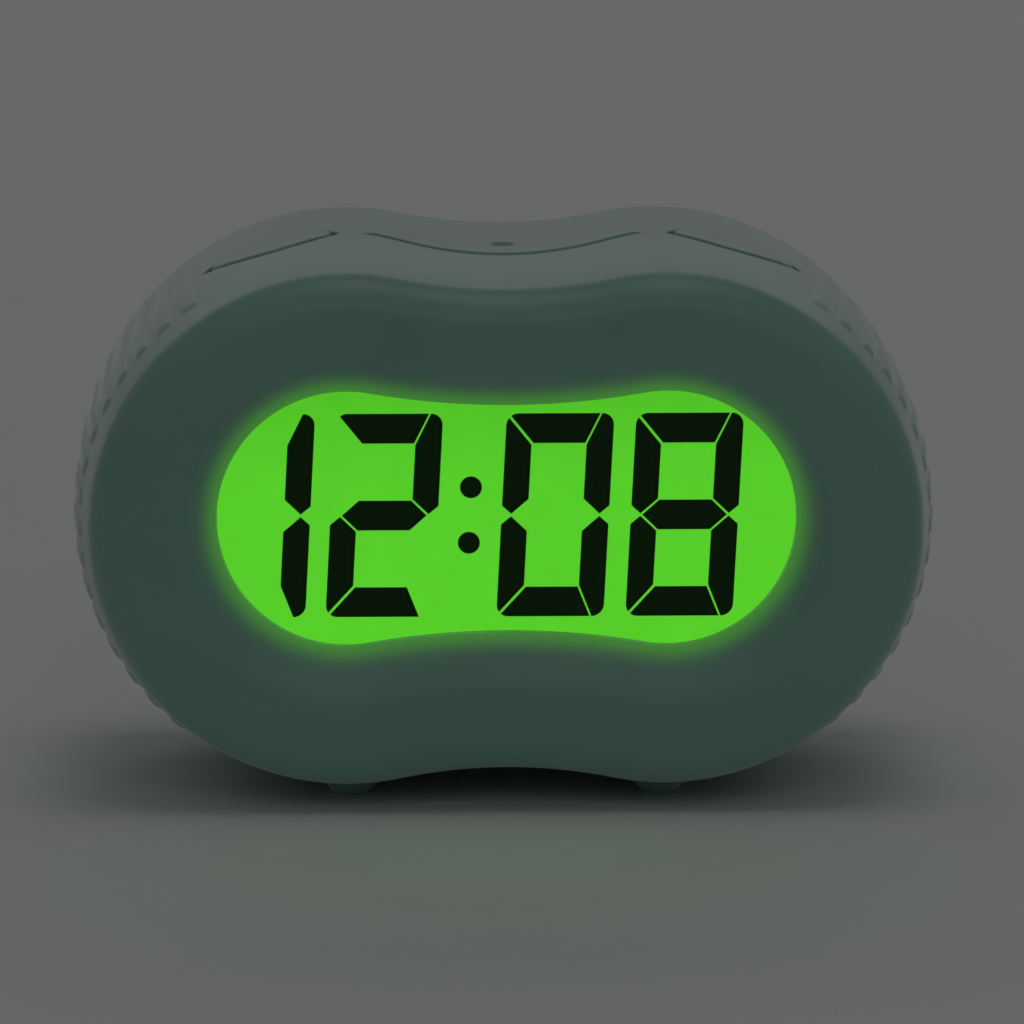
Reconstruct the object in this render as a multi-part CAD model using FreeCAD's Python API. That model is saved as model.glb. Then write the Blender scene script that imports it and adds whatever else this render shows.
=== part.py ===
import FreeCAD, Part
import math
import os
from FreeCAD import Vector

# Bedside LCD alarm clock: a hard two-piece case inside a thick soft jacket.
# Frame: +X to the clock's right as its face is read, +Y from the face to the back, +Z up.
# The origin is at the middle of the footprint, on the surface that the feet stand on.
# All lengths are in millimetres.

# ---- driving dimensions ----------------------------------------------------------------
LOBE_X = 19.05            # each round lobe is centred this far from the middle
LOBE_R = 33.0             # outside radius of a lobe
WAIST_R = 61.0            # radius of the hollow arc that joins the lobes above and below
HALF_DEPTH = 26.35        # front crest and back rim, measured from the middle
FOOT_H = 1.2              # the feet hold the jacket this far off the table
JACKET_T = 2.6            # thickness of the soft jacket along its sides
CASE_T = 2.0              # wall of the hard case
FIT = 0.1                 # gap between fixed pieces that slip together
RUN = 0.3                 # gap round a moving key or button
KEY_TRAVEL = 0.7          # press of the three top keys
BUTTON_TRAVEL = 0.5       # press of the four back buttons
SLIDER_TRAVEL = 2.5       # throw of the two slide switches

CENTRE_Z = FOOT_H + LOBE_R
CASE_R = LOBE_R - JACKET_T - FIT
INNER_R = CASE_R - CASE_T

# Window: the same kind of outline, smaller and a little above the middle of the face.
WINDOW_R = 15.5
WINDOW_LOBE_X = 19.15
WINDOW_WAIST_R = 96.0
WINDOW_Z = CENTRE_Z + 1.6

# Jacket section, as radius from a lobe's axis and depth.
CREST_R = 21.2            # inside this the face slopes back to the window
DISH_R = 6.0              # rounding where that slope begins
DISH_SLOPE = 18.0         # angle of the slope, in degrees
DISH_INNER_R = 12.6
CORNER_R = 4.8            # the flat front ring turns tightly towards the side
TAPER_R = 90.0            # and then more gently into it
TAPER_TURN = 12.0         # angle of the side where the two arcs meet, in degrees
REAR_ROUND = 4.0
REAR_OPENING_R = 27.8
LIP_T = 1.05              # soft lip that laps over the back cover

# Layers from the face to the back.
CASE_FRONT = -22.9
CASE_INNER_FRONT = -20.4
CASE_ROUND = 7.0
LENS_T = 1.3
LENS_POCKET_DEPTH = 1.4
LENS_MARGIN = 2.5
OPENING_MARGIN = 0.8
LCD_FRONT = -20.25
LCD_T = 2.2
LCD_HALF_W = 35.4
LCD_HALF_H = 18.05
GUIDE_T = 3.0
BOARD_FRONT = -12.5
BOARD_T = 1.6
COVER_SEAM = 22.7
COVER_BACK = 25.2
COVER_PLATE_T = 2.4
COVER_LIP_DEPTH = 2.0     # a lip inside the cover's edge centres it in the case
COVER_LIP_T = 1.2
LIP_GAP = 0.15

# Keys on top, as lens shapes seen from above.
KEY_MID_Y = -1.4
SNOOZE_HALF_L = 16.7
SNOOZE_HALF_W = 5.3
SIDE_KEY_X = 28.15
SIDE_KEY_HALF_L = 8.15
SIDE_KEY_HALF_W = 7.2
TIP_CUT = 0.9             # each key's sharp tips are blunted by this much
KEY_PROUD = 0.3
KEY_SKIN = 2.2
KEY_WALL = 1.4
FLANGE_REACH = 1.0
FLANGE_T = 1.0
ROOF_GAP = 0.2
KEY_BOARD_TOP = CENTRE_Z + 19.8
KEY_BOARD_T = 1.2
KEY_BOARD_HALF_W = 30.4
KEY_BOARD_Y = (-8.6, 8.4)
SENSOR_Y = 0.4

# Tactile switches under every key and button.
SWITCH_W = 6.0
SWITCH_H = 3.5
PLUNGER_R = 1.7
PLUNGER_GAP = 0.1
PLUNGER_RISE = 1.0
PLUNGER_SINK = 1.5
WELL_SPARE = 0.9          # room under a plunger at rest

# Back controls.
REAR_BOARD_FACE = 17.0
REAR_BOARD_T = 1.4
BUTTON_Z = CENTRE_Z + 13.0
BUTTON_X = {"time": -18.0, "alarm": -6.0, "hour": 6.0, "minute": 18.0}
BUTTON_R = 2.9
BUTTON_PROUD = 0.8
BUTTON_DISH = 0.28        # depth of the finger dish in each button
SLIDER_X = 36.0
SLIDER_Z = {"alarm": CENTRE_Z + 5.5, "light": CENTRE_Z - 6.5}
KNOB_HALF_W = 1.2
KNOB_HALF_H = 1.6
BUZZER_X = -36.0
BUZZER_R = 6.0
BUZZER_SPAN = (16.4, 22.4)
BUZZER_RING_T = 1.05      # wall that holds the buzzer against the cover
SOUND_HOLE_R = 0.7
SOUND_CIRCLE_R = 3.2
SOUND_CIRCLE_COUNT = 6

# Battery bay for two slim round cells that lie side to side.
BAY_Z = CENTRE_Z - 6.8
BAY_HALF_L = 25.0
BAY_HALF_H = 11.5
BAY_FLOOR = 11.9
BAY_WALL = 1.4
CELL_R = 5.25
CELL_LENGTH = 43.7
CELL_NUB = 0.8
CELL_NUB_R = 1.9
CELL_Y = 17.4
CELL_RISE = 5.7
TAB_HALF_W = 0.9          # solder tabs of the two terminals
TAB_SLOT = (13.0, 16.0)
LEAD_START_Y = 14.2       # where the battery leads meet the solder tabs
DOOR_HALF_L = 27.0
DOOR_HALF_H = 12.6
DOOR_T = 1.8
DOOR_ROUND = 1.2
HOOK_X = 15.0
HOOK_HALF_W = 3.0
HOOK_T = 1.1
HOOK_REACH = 1.4          # the hooks pass this far under the bay's lower lip
BAY_FLOOR_T = 1.3
COLLAR_FRONT = 21.5       # a thicker collar carries the door all round
COLLAR_WALL = 1.6
GRIP_LINES = 4            # grooves that the thumb pushes on
GRIP_PITCH = 1.7
GRIP_HALF_L = 7.0

# Screw posts and bosses.
CASE_POST_X = 34.2
CASE_POST_RISE = 17.6
CASE_POST_R = 2.9
CASE_POST_SPAN = (-9.0, 19.0)
CASE_POST_WEB_T = 2.0
WALL_BITE = 0.8           # webs and bosses run this far into the wall that carries them
BOARD_BOSS_X = 40.6
BOARD_BOSS_RISE = 7.5
BOARD_BOSS_R = 2.5
KEY_BOSS_X = 18.5
KEY_BOSS_Y = 5.2
KEY_BOSS_R = 2.0
KEY_BOSS_TOP = CENTRE_Z + 29.0
REAR_BOSSES = [(-12.0, 9.0), (12.0, 9.0), (31.8, -11.0)]
REAR_BOSS_R = 1.8
BOARD_SCREW_LENGTH = 7.0
KEY_SCREW_LENGTH = 6.5
REAR_SCREW_LENGTH = 5.6
PILOT_R = 0.9             # holes that the small board screws cut their thread in
PILOT_SPARE = 0.5
CASE_PILOT_R = 1.2
CASE_SCREW_R = 1.15
CASE_SCREW_HOLE_R = 1.35
CASE_SCREW_HEAD_R = 2.3
CASE_SCREW_HEAD_T = 1.5
CASE_SCREW_TIP = 10.0
COUNTERBORE_R = 2.6
COUNTERBORE_FLOOR = 23.2
SMALL_SCREW_R = 0.85
SMALL_SCREW_HEAD_R = 1.8
SMALL_SCREW_HEAD_T = 1.2

# Cuts that pass right out of a piece run to these planes, clear of everything.
PAST_FRONT = -40.0
PAST_BACK = 40.0
PAST_TOP = 100.0

X_AXIS = Vector(1, 0, 0)
Y_AXIS = Vector(0, 1, 0)
Z_AXIS = Vector(0, 0, 1)


# ---- small helpers ---------------------------------------------------------------------
def line(start, end):
    return Part.LineSegment(start, end).toShape()


def arc(start, middle, end):
    return Part.Arc(start, middle, end).toShape()


def box(x_range, y_range, z_range):
    size = [high - low for low, high in (x_range, y_range, z_range)]
    return Part.makeBox(size[0], size[1], size[2], Vector(x_range[0], y_range[0], z_range[0]))


def rod_y(x, z, radius, y_range):
    return Part.makeCylinder(radius, y_range[1] - y_range[0], Vector(x, y_range[0], z), Y_AXIS)


def rod_z(x, y, radius, z_range):
    return Part.makeCylinder(radius, z_range[1] - z_range[0], Vector(x, y, z_range[0]), Z_AXIS)


def rod_x(y, z, radius, x_range):
    return Part.makeCylinder(radius, x_range[1] - x_range[0], Vector(x_range[0], y, z), X_AXIS)


def union(pieces):
    return pieces[0].fuse(pieces[1:]).removeSplitter()


def group(solids):
    return Part.makeCompound(solids)


def save(shape, node):
    shape.exportStep("parts/%s.step" % node)


def rounded_plate_y(x_range, z_range, y_range, corner):
    plate = box(x_range, y_range, z_range)
    edges = [edge for edge in plate.Edges if abs(edge.tangentAt(edge.FirstParameter).y) > 0.99]
    return plate.makeFillet(corner, edges)


def rounded_plate_z(x_range, y_range, z_range, corner):
    plate = box(x_range, y_range, z_range)
    edges = [edge for edge in plate.Edges if abs(edge.tangentAt(edge.FirstParameter).z) > 0.99]
    return plate.makeFillet(corner, edges)


class Peanut:
    """Outline of two round lobes joined above and below by hollow arcs."""

    def __init__(self, lobe_r, lobe_x, waist_r, centre_z):
        self.lobe_r = lobe_r
        self.lobe_x = lobe_x
        self.waist_r = waist_r
        self.centre_z = centre_z
        self.span = lobe_r + waist_r
        self.waist_rise = math.sqrt(self.span ** 2 - lobe_x ** 2)
        self.lean = math.degrees(math.asin(lobe_x / self.span))

    def grown(self, by):
        return Peanut(self.lobe_r + by, self.lobe_x, self.waist_r - by, self.centre_z)

    def _point(self, side, rise, y):
        return Vector(side, y, self.centre_z + rise)

    def face(self, y):
        reach = self.lobe_r / self.span
        join_x = self.lobe_x * (1.0 - reach)
        join_rise = self.waist_rise * reach
        edge_x = self.lobe_x + self.lobe_r
        waist = self.waist_rise - self.waist_r
        edges = [
            arc(self._point(join_x, -join_rise, y), self._point(edge_x, 0, y),
                self._point(join_x, join_rise, y)),
            arc(self._point(join_x, join_rise, y), self._point(0, waist, y),
                self._point(-join_x, join_rise, y)),
            arc(self._point(-join_x, join_rise, y), self._point(-edge_x, 0, y),
                self._point(-join_x, -join_rise, y)),
            arc(self._point(-join_x, -join_rise, y), self._point(0, -waist, y),
                self._point(join_x, -join_rise, y)),
        ]
        return Part.Face(Part.Wire(edges))

    def prism(self, y_range):
        return self.face(y_range[0]).extrude(Vector(0, y_range[1] - y_range[0], 0))

    def _sector(self, profile, side, rise, start, sweep, hollow):
        aim = Vector(math.cos(math.radians(start)), 0, math.sin(math.radians(start)))
        centre = self._point(side, rise, 0)

        def place(radius, depth):
            reach = self.span - radius if hollow else radius
            return centre + aim * reach + Vector(0, depth, 0)

        section = Part.Face(Part.Wire(profile(place)))
        return section.revolve(centre, Vector(0, -1, 0), sweep)

    def turned(self, profile):
        """Carry a radius-and-depth profile round the whole outline."""
        lobe_sweep = 180.0 + 2 * self.lean
        waist_sweep = 2 * self.lean
        sectors = [
            self._sector(profile, self.lobe_x, 0, -90 - self.lean, lobe_sweep, False),
            self._sector(profile, -self.lobe_x, 0, 90 - self.lean, lobe_sweep, False),
            self._sector(profile, 0, self.waist_rise, -90 - self.lean, waist_sweep, True),
            self._sector(profile, 0, -self.waist_rise, 90 - self.lean, waist_sweep, True),
        ]
        return union(sectors)


OUTER = Peanut(LOBE_R, LOBE_X, WAIST_R, CENTRE_Z)
WINDOW = Peanut(WINDOW_R, WINDOW_LOBE_X, WINDOW_WAIST_R, WINDOW_Z)


def inside(radius):
    """The clock's own outline, taken in to a smaller lobe radius."""
    return OUTER.grown(radius - LOBE_R)


class Lens:
    """Leaf shape seen from above: two equal parabolas that meet in a point at each end."""

    def __init__(self, x, y, half_l, half_w):
        self.x = x
        self.y = y
        self.half_l = half_l
        self.half_w = half_w

    def _edge(self, start, end, bulge):
        crown = Vector(self.x, self.y + 2 * bulge, start.z)
        curve = Part.BezierCurve()
        curve.setPoles([start, crown, end])
        return curve.toShape()

    def prism(self, grow, z_range):
        tip_angle = math.atan2(2 * self.half_w, self.half_l)
        half_l = self.half_l + grow / math.sin(tip_angle)
        half_w = self.half_w + grow
        z = z_range[0]
        left = Vector(self.x - half_l, self.y, z)
        right = Vector(self.x + half_l, self.y, z)
        front = self._edge(left, right, -half_w)
        back = self._edge(right, left, half_w)
        face = Part.Face(Part.Wire([front, back]))
        return face.extrude(Vector(0, 0, z_range[1] - z))

    def without_tips(self, shape):
        reach = self.half_l - TIP_CUT
        return shape.common(box((self.x - reach, self.x + reach), (PAST_FRONT, PAST_BACK), (0, PAST_TOP)))


SNOOZE_LENS = Lens(0.0, KEY_MID_Y, SNOOZE_HALF_L, SNOOZE_HALF_W)
LEFT_LENS = Lens(-SIDE_KEY_X, KEY_MID_Y, SIDE_KEY_HALF_L, SIDE_KEY_HALF_W)
RIGHT_LENS = Lens(SIDE_KEY_X, KEY_MID_Y, SIDE_KEY_HALF_L, SIDE_KEY_HALF_W)
KEY_LENSES = [SNOOZE_LENS, LEFT_LENS, RIGHT_LENS]
ROOF_CUT = (CENTRE_Z + 21.6, CENTRE_Z + 45.0)


def key_openings(gap):
    return [lens.prism(gap, ROOF_CUT) for lens in KEY_LENSES]


# ---- soft jacket -----------------------------------------------------------------------
def jacket_profile(grow):
    """Section of the jacket's outside, grown outward by a little for the ribs."""
    side = LOBE_R + grow
    front = -HALF_DEPTH - grow
    slope = math.radians(DISH_SLOPE)
    join_tilt = math.radians(90 - TAPER_TURN)
    corner_centre = (LOBE_R - TAPER_R + (TAPER_R - CORNER_R) * math.sin(join_tilt), CORNER_R - HALF_DEPTH)
    taper_start = corner_centre[1] + (TAPER_R - CORNER_R) * math.cos(join_tilt)
    taper_centre = (LOBE_R - TAPER_R, taper_start)
    rear_centre = (side - REAR_ROUND, HALF_DEPTH - REAR_ROUND)

    def on(centre, radius, tilt):
        """Point on an arc, by how far its outward direction has turned from straight ahead."""
        return centre[0] + radius * math.sin(tilt), centre[1] - radius * math.cos(tilt)

    def edges(place):
        slope_start = (CREST_R - DISH_R * math.sin(slope), front + DISH_R * (1 - math.cos(slope)))
        slope_end = slope_start[1] + (slope_start[0] - DISH_INNER_R) * math.tan(slope)
        dish_mid = (CREST_R - DISH_R * math.sin(slope / 2), front + DISH_R * (1 - math.cos(slope / 2)))
        corner_start = place(corner_centre[0], front)
        corner_mid = place(*on(corner_centre, CORNER_R + grow, join_tilt / 2))
        join = place(*on(corner_centre, CORNER_R + grow, join_tilt))
        taper_mid = place(*on(taper_centre, TAPER_R + grow, (join_tilt + math.pi / 2) / 2))
        side_front = place(side, taper_start)
        side_back = place(side, HALF_DEPTH - REAR_ROUND)
        rim = place(side - REAR_ROUND, HALF_DEPTH)
        rear_middle = place(*on(rear_centre, REAR_ROUND, math.radians(135)))
        return [
            line(place(0, slope_end), place(DISH_INNER_R, slope_end)),
            line(place(DISH_INNER_R, slope_end), place(*slope_start)),
            arc(place(*slope_start), place(*dish_mid), place(CREST_R, front)),
            line(place(CREST_R, front), corner_start),
            arc(corner_start, corner_mid, join),
            arc(join, taper_mid, side_front),
            line(side_front, side_back),
            arc(side_back, rear_middle, rim),
            line(rim, place(0, HALF_DEPTH)),
            line(place(0, HALF_DEPTH), place(0, slope_end)),
        ]

    return edges


def cup_profile(side, front, back, corner):
    """Section of a plain shell: flat front, rounded front corner, straight side."""
    def edges(place):
        bend = corner * math.cos(math.radians(45))
        before = place(side - corner, front)
        after = place(side, front + corner)
        middle = place(side - corner + bend, front + corner - bend)
        return [
            line(place(0, front), before),
            arc(before, middle, after),
            line(after, place(side, back)),
            line(place(side, back), place(0, back)),
            line(place(0, back), place(0, front)),
        ]

    return edges


RIB_COUNT = 16
RIB_FIRST = 54.1          # angle of the highest rib above the side, in degrees
RIB_PITCH = 6.95
RIB_W = 2.0
RIB_H = 0.3
RIB_SPAN = (-17.9, 18.5)
RIB_ROOT_R = 27.5         # the ribs' blanks start inside the jacket's wall
RIB_TIP_R = 36.0


def grip_ribs():
    """Raised ribs that run front to back along both sides, following the jacket's surface."""
    slabs = []
    for side in (-1, 1):
        for index in range(RIB_COUNT):
            slab = box((RIB_ROOT_R, RIB_TIP_R), RIB_SPAN, (-RIB_W / 2, RIB_W / 2))
            angle = RIB_FIRST - index * RIB_PITCH
            slab.rotate(Vector(0, 0, 0), Vector(0, -1, 0), angle)
            slab.translate(Vector(LOBE_X, 0, CENTRE_Z))
            if side < 0:
                slab = slab.mirror(Vector(0, 0, 0), X_AXIS)
            slabs.append(slab)
    return OUTER.turned(jacket_profile(RIB_H)).common(group(slabs))


FOOT_PLACES = [(-18.8, -12.5), (18.8, -12.5), (-18.8, 14.0), (18.8, 14.0)]
FOOT_TIP_R = 2.0
FOOT_BASE_R = 2.8
FOOT_ROOT = 1.6           # the foot's stem runs this far up into the jacket


def feet():
    bumps = []
    for x, y in FOOT_PLACES:
        bumps.append(Part.makeCone(FOOT_TIP_R, FOOT_BASE_R, FOOT_H, Vector(x, y, 0), Z_AXIS))
        bumps.append(rod_z(x, y, FOOT_BASE_R, (FOOT_H, FOOT_H + FOOT_ROOT)))
    return bumps


def silicone_jacket():
    cavity_profile = cup_profile(CASE_R + FIT, CASE_FRONT - FIT, HALF_DEPTH - LIP_T, CASE_ROUND)
    cavity = OUTER.turned(cavity_profile)
    cuts = [cavity, WINDOW.prism((PAST_FRONT, 0)), inside(REAR_OPENING_R).prism((0, PAST_BACK))]
    body = OUTER.turned(jacket_profile(0)).fuse([grip_ribs()] + feet())
    return body.cut(cuts + key_openings(RUN))


# ---- hard case -------------------------------------------------------------------------
def case_post(x, rise):
    """Post for a case screw, tied to the nearest side wall by a web."""
    side = 1 if x > 0 else -1
    z = CENTRE_Z + rise
    wall_x = LOBE_X + math.sqrt(INNER_R ** 2 - rise ** 2) + WALL_BITE
    web_x = sorted((x, side * wall_x))
    web = box(web_x, CASE_POST_SPAN, (z - CASE_POST_WEB_T / 2, z + CASE_POST_WEB_T / 2))
    return [rod_y(x, z, CASE_POST_R, CASE_POST_SPAN), web]


def corner_places(half_x, rise):
    return [(x, z) for x in (-half_x, half_x) for z in (-rise, rise)]


def front_case():
    shell = OUTER.turned(cup_profile(CASE_R, CASE_FRONT, COVER_SEAM, CASE_ROUND))
    hollow = OUTER.turned(cup_profile(INNER_R, CASE_INNER_FRONT, PAST_BACK, CASE_ROUND - CASE_T))
    opening = WINDOW.grown(OPENING_MARGIN).prism((PAST_FRONT, 0))
    pocket = WINDOW.grown(LENS_MARGIN).prism((PAST_FRONT, CASE_FRONT + LENS_POCKET_DEPTH))
    shell = shell.cut([hollow, opening, pocket] + key_openings(RUN + FIT))
    added = []
    drilled = []
    for x, rise in corner_places(CASE_POST_X, CASE_POST_RISE):
        added += case_post(x, rise)
        pilot = (CASE_SCREW_TIP - 2.0, CASE_POST_SPAN[1] + PILOT_SPARE)
        drilled.append(rod_y(x, CENTRE_Z + rise, CASE_PILOT_R, pilot))
    for x, rise in corner_places(BOARD_BOSS_X, BOARD_BOSS_RISE):
        z = CENTRE_Z + rise
        added.append(rod_y(x, z, BOARD_BOSS_R, (CASE_INNER_FRONT - WALL_BITE, BOARD_FRONT)))
        drilled.append(rod_y(x, z, PILOT_R, (CASE_INNER_FRONT + PILOT_R, BOARD_FRONT + PILOT_SPARE)))
    for x in (-KEY_BOSS_X, KEY_BOSS_X):
        added.append(rod_z(x, KEY_BOSS_Y, KEY_BOSS_R, (KEY_BOARD_TOP, KEY_BOSS_TOP)))
        pilot = (KEY_BOARD_TOP - PILOT_SPARE, KEY_BOARD_TOP + KEY_SCREW_LENGTH)
        drilled.append(rod_z(x, KEY_BOSS_Y, PILOT_R, pilot))
    return union([shell] + added).cut(drilled)


def window_lens():
    margin = LENS_MARGIN - FIT
    return WINDOW.grown(margin).prism((CASE_FRONT + FIT / 2, CASE_FRONT + FIT / 2 + LENS_T))


def door_recess(gap):
    z_range = (BAY_Z - DOOR_HALF_H - gap, BAY_Z + DOOR_HALF_H + gap)
    x_range = (-DOOR_HALF_L - gap, DOOR_HALF_L + gap)
    return box(x_range, (COVER_BACK - DOOR_T - FIT, PAST_BACK), z_range)


def battery_bay_shell():
    half_l = BAY_HALF_L + BAY_WALL
    half_h = BAY_HALF_H + BAY_WALL
    tub = box((-half_l, half_l), (BAY_FLOOR - BAY_FLOOR_T, COVER_BACK), (BAY_Z - half_h, BAY_Z + half_h))
    collar_l = DOOR_HALF_L + COLLAR_WALL
    collar_h = DOOR_HALF_H + COLLAR_WALL
    collar = box((-collar_l, collar_l), (COLLAR_FRONT, COVER_BACK), (BAY_Z - collar_h, BAY_Z + collar_h))
    return [tub, collar]


def battery_bay_cuts():
    z_range = (BAY_Z - BAY_HALF_H, BAY_Z + BAY_HALF_H)
    cuts = [box((-BAY_HALF_L, BAY_HALF_L), (BAY_FLOOR, PAST_BACK), z_range), door_recess(2 * FIT)]
    door_low = BAY_Z - DOOR_HALF_H
    for x in (-HOOK_X, HOOK_X):
        slot_x = (x - HOOK_HALF_W - RUN, x + HOOK_HALF_W + RUN)
        slot_z = (door_low - HOOK_REACH - 0.4, door_low + 1.3)
        cuts.append(box(slot_x, (COLLAR_FRONT + FIT, COVER_BACK - DOOR_T), slot_z))
    for rise in (-CELL_RISE, CELL_RISE):
        tab_z = (BAY_Z + rise - TAB_HALF_W - 2 * FIT, BAY_Z + rise + TAB_HALF_W + 2 * FIT)
        cuts.append(box((BAY_HALF_L - BAY_WALL, BAY_HALF_L + 5.0), TAB_SLOT, tab_z))
    return cuts


def button_hole(x):
    return rod_y(x, BUTTON_Z, BUTTON_R + RUN / 2, (REAR_BOARD_FACE, PAST_BACK))


def slider_slot(z):
    reach = KNOB_HALF_H + RUN
    x_range = (SLIDER_X - KNOB_HALF_W - RUN, SLIDER_X + KNOB_HALF_W + RUN)
    return box(x_range, (REAR_BOARD_FACE, PAST_BACK), (z - reach, z + SLIDER_TRAVEL + reach))


def sound_holes():
    places = [(0.0, 0.0)]
    for index in range(SOUND_CIRCLE_COUNT):
        angle = 2 * math.pi * index / SOUND_CIRCLE_COUNT
        places.append((SOUND_CIRCLE_R * math.cos(angle), SOUND_CIRCLE_R * math.sin(angle)))
    span = (BUZZER_SPAN[1], PAST_BACK)
    return [rod_y(BUZZER_X + x, CENTRE_Z + z, SOUND_HOLE_R, span) for x, z in places]


def rear_cover():
    plate_front = COVER_BACK - COVER_PLATE_T
    plate = inside(CASE_R).prism((COVER_SEAM, COVER_BACK))
    lip = inside(INNER_R - LIP_GAP).prism((plate_front - COVER_LIP_DEPTH, COVER_SEAM))
    lip = lip.cut(inside(INNER_R - LIP_GAP - COVER_LIP_T).prism((0, COVER_SEAM)))
    pieces = [plate, lip] + battery_bay_shell()
    cuts = battery_bay_cuts() + sound_holes()
    cuts += [button_hole(x) for x in BUTTON_X.values()]
    cuts += [slider_slot(z) for z in SLIDER_Z.values()]
    for x, rise in corner_places(CASE_POST_X, CASE_POST_RISE):
        z = CENTRE_Z + rise
        pieces.append(rod_y(x, z, CASE_POST_R, (CASE_POST_SPAN[1] + FIT, COVER_SEAM)))
        cuts.append(rod_y(x, z, CASE_SCREW_HOLE_R, (CASE_SCREW_TIP, PAST_BACK)))
        cuts.append(rod_y(x, z, COUNTERBORE_R, (COUNTERBORE_FLOOR, PAST_BACK)))
    for x, rise in REAR_BOSSES:
        z = CENTRE_Z + rise
        pieces.append(rod_y(x, z, REAR_BOSS_R, (REAR_BOARD_FACE, COVER_SEAM)))
        cuts.append(rod_y(x, z, PILOT_R - FIT, (REAR_BOARD_FACE - 1.0, COVER_SEAM - 1.0)))
    ring_r = BUZZER_R + LIP_GAP
    ring = rod_y(BUZZER_X, CENTRE_Z, ring_r + BUZZER_RING_T, (BUZZER_SPAN[0] + 1.1, COVER_SEAM))
    cuts.append(rod_y(BUZZER_X, CENTRE_Z, ring_r, (BUZZER_SPAN[0] - 1.0, COVER_SEAM)))
    return union(pieces + [ring]).cut(cuts)


def battery_door():
    """Door that tips out about its lower back edge; two hooks hold it at the bottom."""
    low = BAY_Z - DOOR_HALF_H
    high = BAY_Z + DOOR_HALF_H
    inner = COVER_BACK - DOOR_T
    plate = rounded_plate_y((-DOOR_HALF_L, DOOR_HALF_L), (low, high), (inner, COVER_BACK), DOOR_ROUND)
    hooks = []
    for x in (-HOOK_X, HOOK_X):
        x_range = (x - HOOK_HALF_W, x + HOOK_HALF_W)
        hooks.append(box(x_range, (inner - HOOK_T, inner + 0.2), (low + FIT, low + 1.9)))
        hooks.append(box(x_range, (inner - HOOK_T, inner - FIT), (low - HOOK_REACH, low + 0.5)))
    scoop_r = 9.0
    cuts = [rod_y(0, high + scoop_r / 2, scoop_r, (COVER_BACK - DOOR_T / 2, PAST_BACK))]
    for step in range(GRIP_LINES):
        z = high - scoop_r / 2 - (step + 1) * GRIP_PITCH
        cuts.append(box((-GRIP_HALF_L, GRIP_HALF_L), (COVER_BACK - 0.4, PAST_BACK), (z - 0.35, z + 0.35)))
    return union([plate] + hooks).cut(cuts)


def cross_slot(x, z, depth, half_w, half_h):
    """One bar of the cross in a screw's head."""
    return box((x - half_w, x + half_w), (depth, PAST_BACK), (z - half_h, z + half_h))


def case_screws():
    screws = []
    for x, rise in corner_places(CASE_POST_X, CASE_POST_RISE):
        z = CENTRE_Z + rise
        top = COUNTERBORE_FLOOR + CASE_SCREW_HEAD_T
        head = rod_y(x, z, CASE_SCREW_HEAD_R, (COUNTERBORE_FLOOR, top))
        shank = rod_y(x, z, CASE_SCREW_R, (CASE_SCREW_TIP, COUNTERBORE_FLOOR))
        cross = [cross_slot(x, z, top - 0.7, 1.3, 0.3), cross_slot(x, z, top - 0.7, 0.3, 1.3)]
        screws.append(union([head, shank]).cut(cross))
    return group(screws)


# ---- display stack ---------------------------------------------------------------------
DIGIT_H = 24.7
DIGIT_W = 12.9
BAR_V = 3.15              # width of an upright bar
BAR_H = 3.6               # height of a level bar
BAR_NOTCH = 1.15          # upright bars come to a point this far in from their outer side
DIGIT_CORNER = 1.45       # the digit's outer corners are cut off by about this much
SEGMENT_GAP = 0.32
DIGIT_SLANT = math.tan(math.radians(3.0))
DIGIT_RIGHTS = [-22.85, -7.53, 12.99, 28.52]
DIGIT_SEGMENTS = ["bc", "abged", "abcdef", "abcdefg"]
DIGIT_Z = WINDOW_Z - 0.27
COLON_DOTS = [(-4.22, 3.4), (-4.48, -3.35)]
COLON_R = 1.32
INK_T = 0.08


def segment_outlines():
    """The seven bars of a digit, centred on the digit's middle height, right edge at zero."""
    half = DIGIT_H / 2
    gap = SEGMENT_GAP / 2
    left = -DIGIT_W
    inner = half - BAR_H
    r = DIGIT_CORNER
    cut = 0.4 * r
    slope = 1.4 * gap
    top = [(left + cut, half - cut + slope), (left + r, half), (-r - slope, half)]
    top += [(-BAR_V - gap, inner), (left + BAR_V + slope, inner)]
    upper_right = [(-r, half), (-cut, half - cut), (0, half - r), (0, BAR_NOTCH), (-BAR_NOTCH, gap)]
    upper_right += [(-BAR_V, BAR_H / 2 + gap), (-BAR_V, inner - slope)]
    upper_left = [(left + cut, half - cut - slope), (left, half - r), (left, BAR_NOTCH)]
    upper_left += [(left + BAR_NOTCH, gap), (left + BAR_V, BAR_H / 2 + gap), (left + BAR_V, inner - slope)]
    tip = left + BAR_NOTCH + slope
    middle = [(tip, 0), (left + BAR_V + gap, BAR_H / 2), (-BAR_V - gap, BAR_H / 2)]
    middle += [(-BAR_NOTCH - slope, 0), (-BAR_V - gap, -BAR_H / 2), (left + BAR_V + gap, -BAR_H / 2)]
    return {
        "a": top,
        "b": upper_right,
        "c": [(x, -z) for x, z in upper_right],
        "d": [(x, -z) for x, z in top],
        "e": [(x, -z) for x, z in upper_left],
        "f": upper_left,
        "g": middle,
    }


def lcd_digits():
    bars = []
    outlines = segment_outlines()
    y = LCD_FRONT - INK_T
    for right, letters in zip(DIGIT_RIGHTS, DIGIT_SEGMENTS):
        for letter in letters:
            corners = []
            for x, z in outlines[letter]:
                slide = (z - DIGIT_H / 2) * DIGIT_SLANT
                corners.append(Vector(right + x + slide, y, DIGIT_Z + z))
            outline = Part.makePolygon(corners + [corners[0]])
            bars.append(Part.Face(outline).extrude(Vector(0, INK_T, 0)))
    for x, rise in COLON_DOTS:
        bars.append(rod_y(x, DIGIT_Z + rise, COLON_R, (y, LCD_FRONT)))
    return group(bars)


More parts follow.
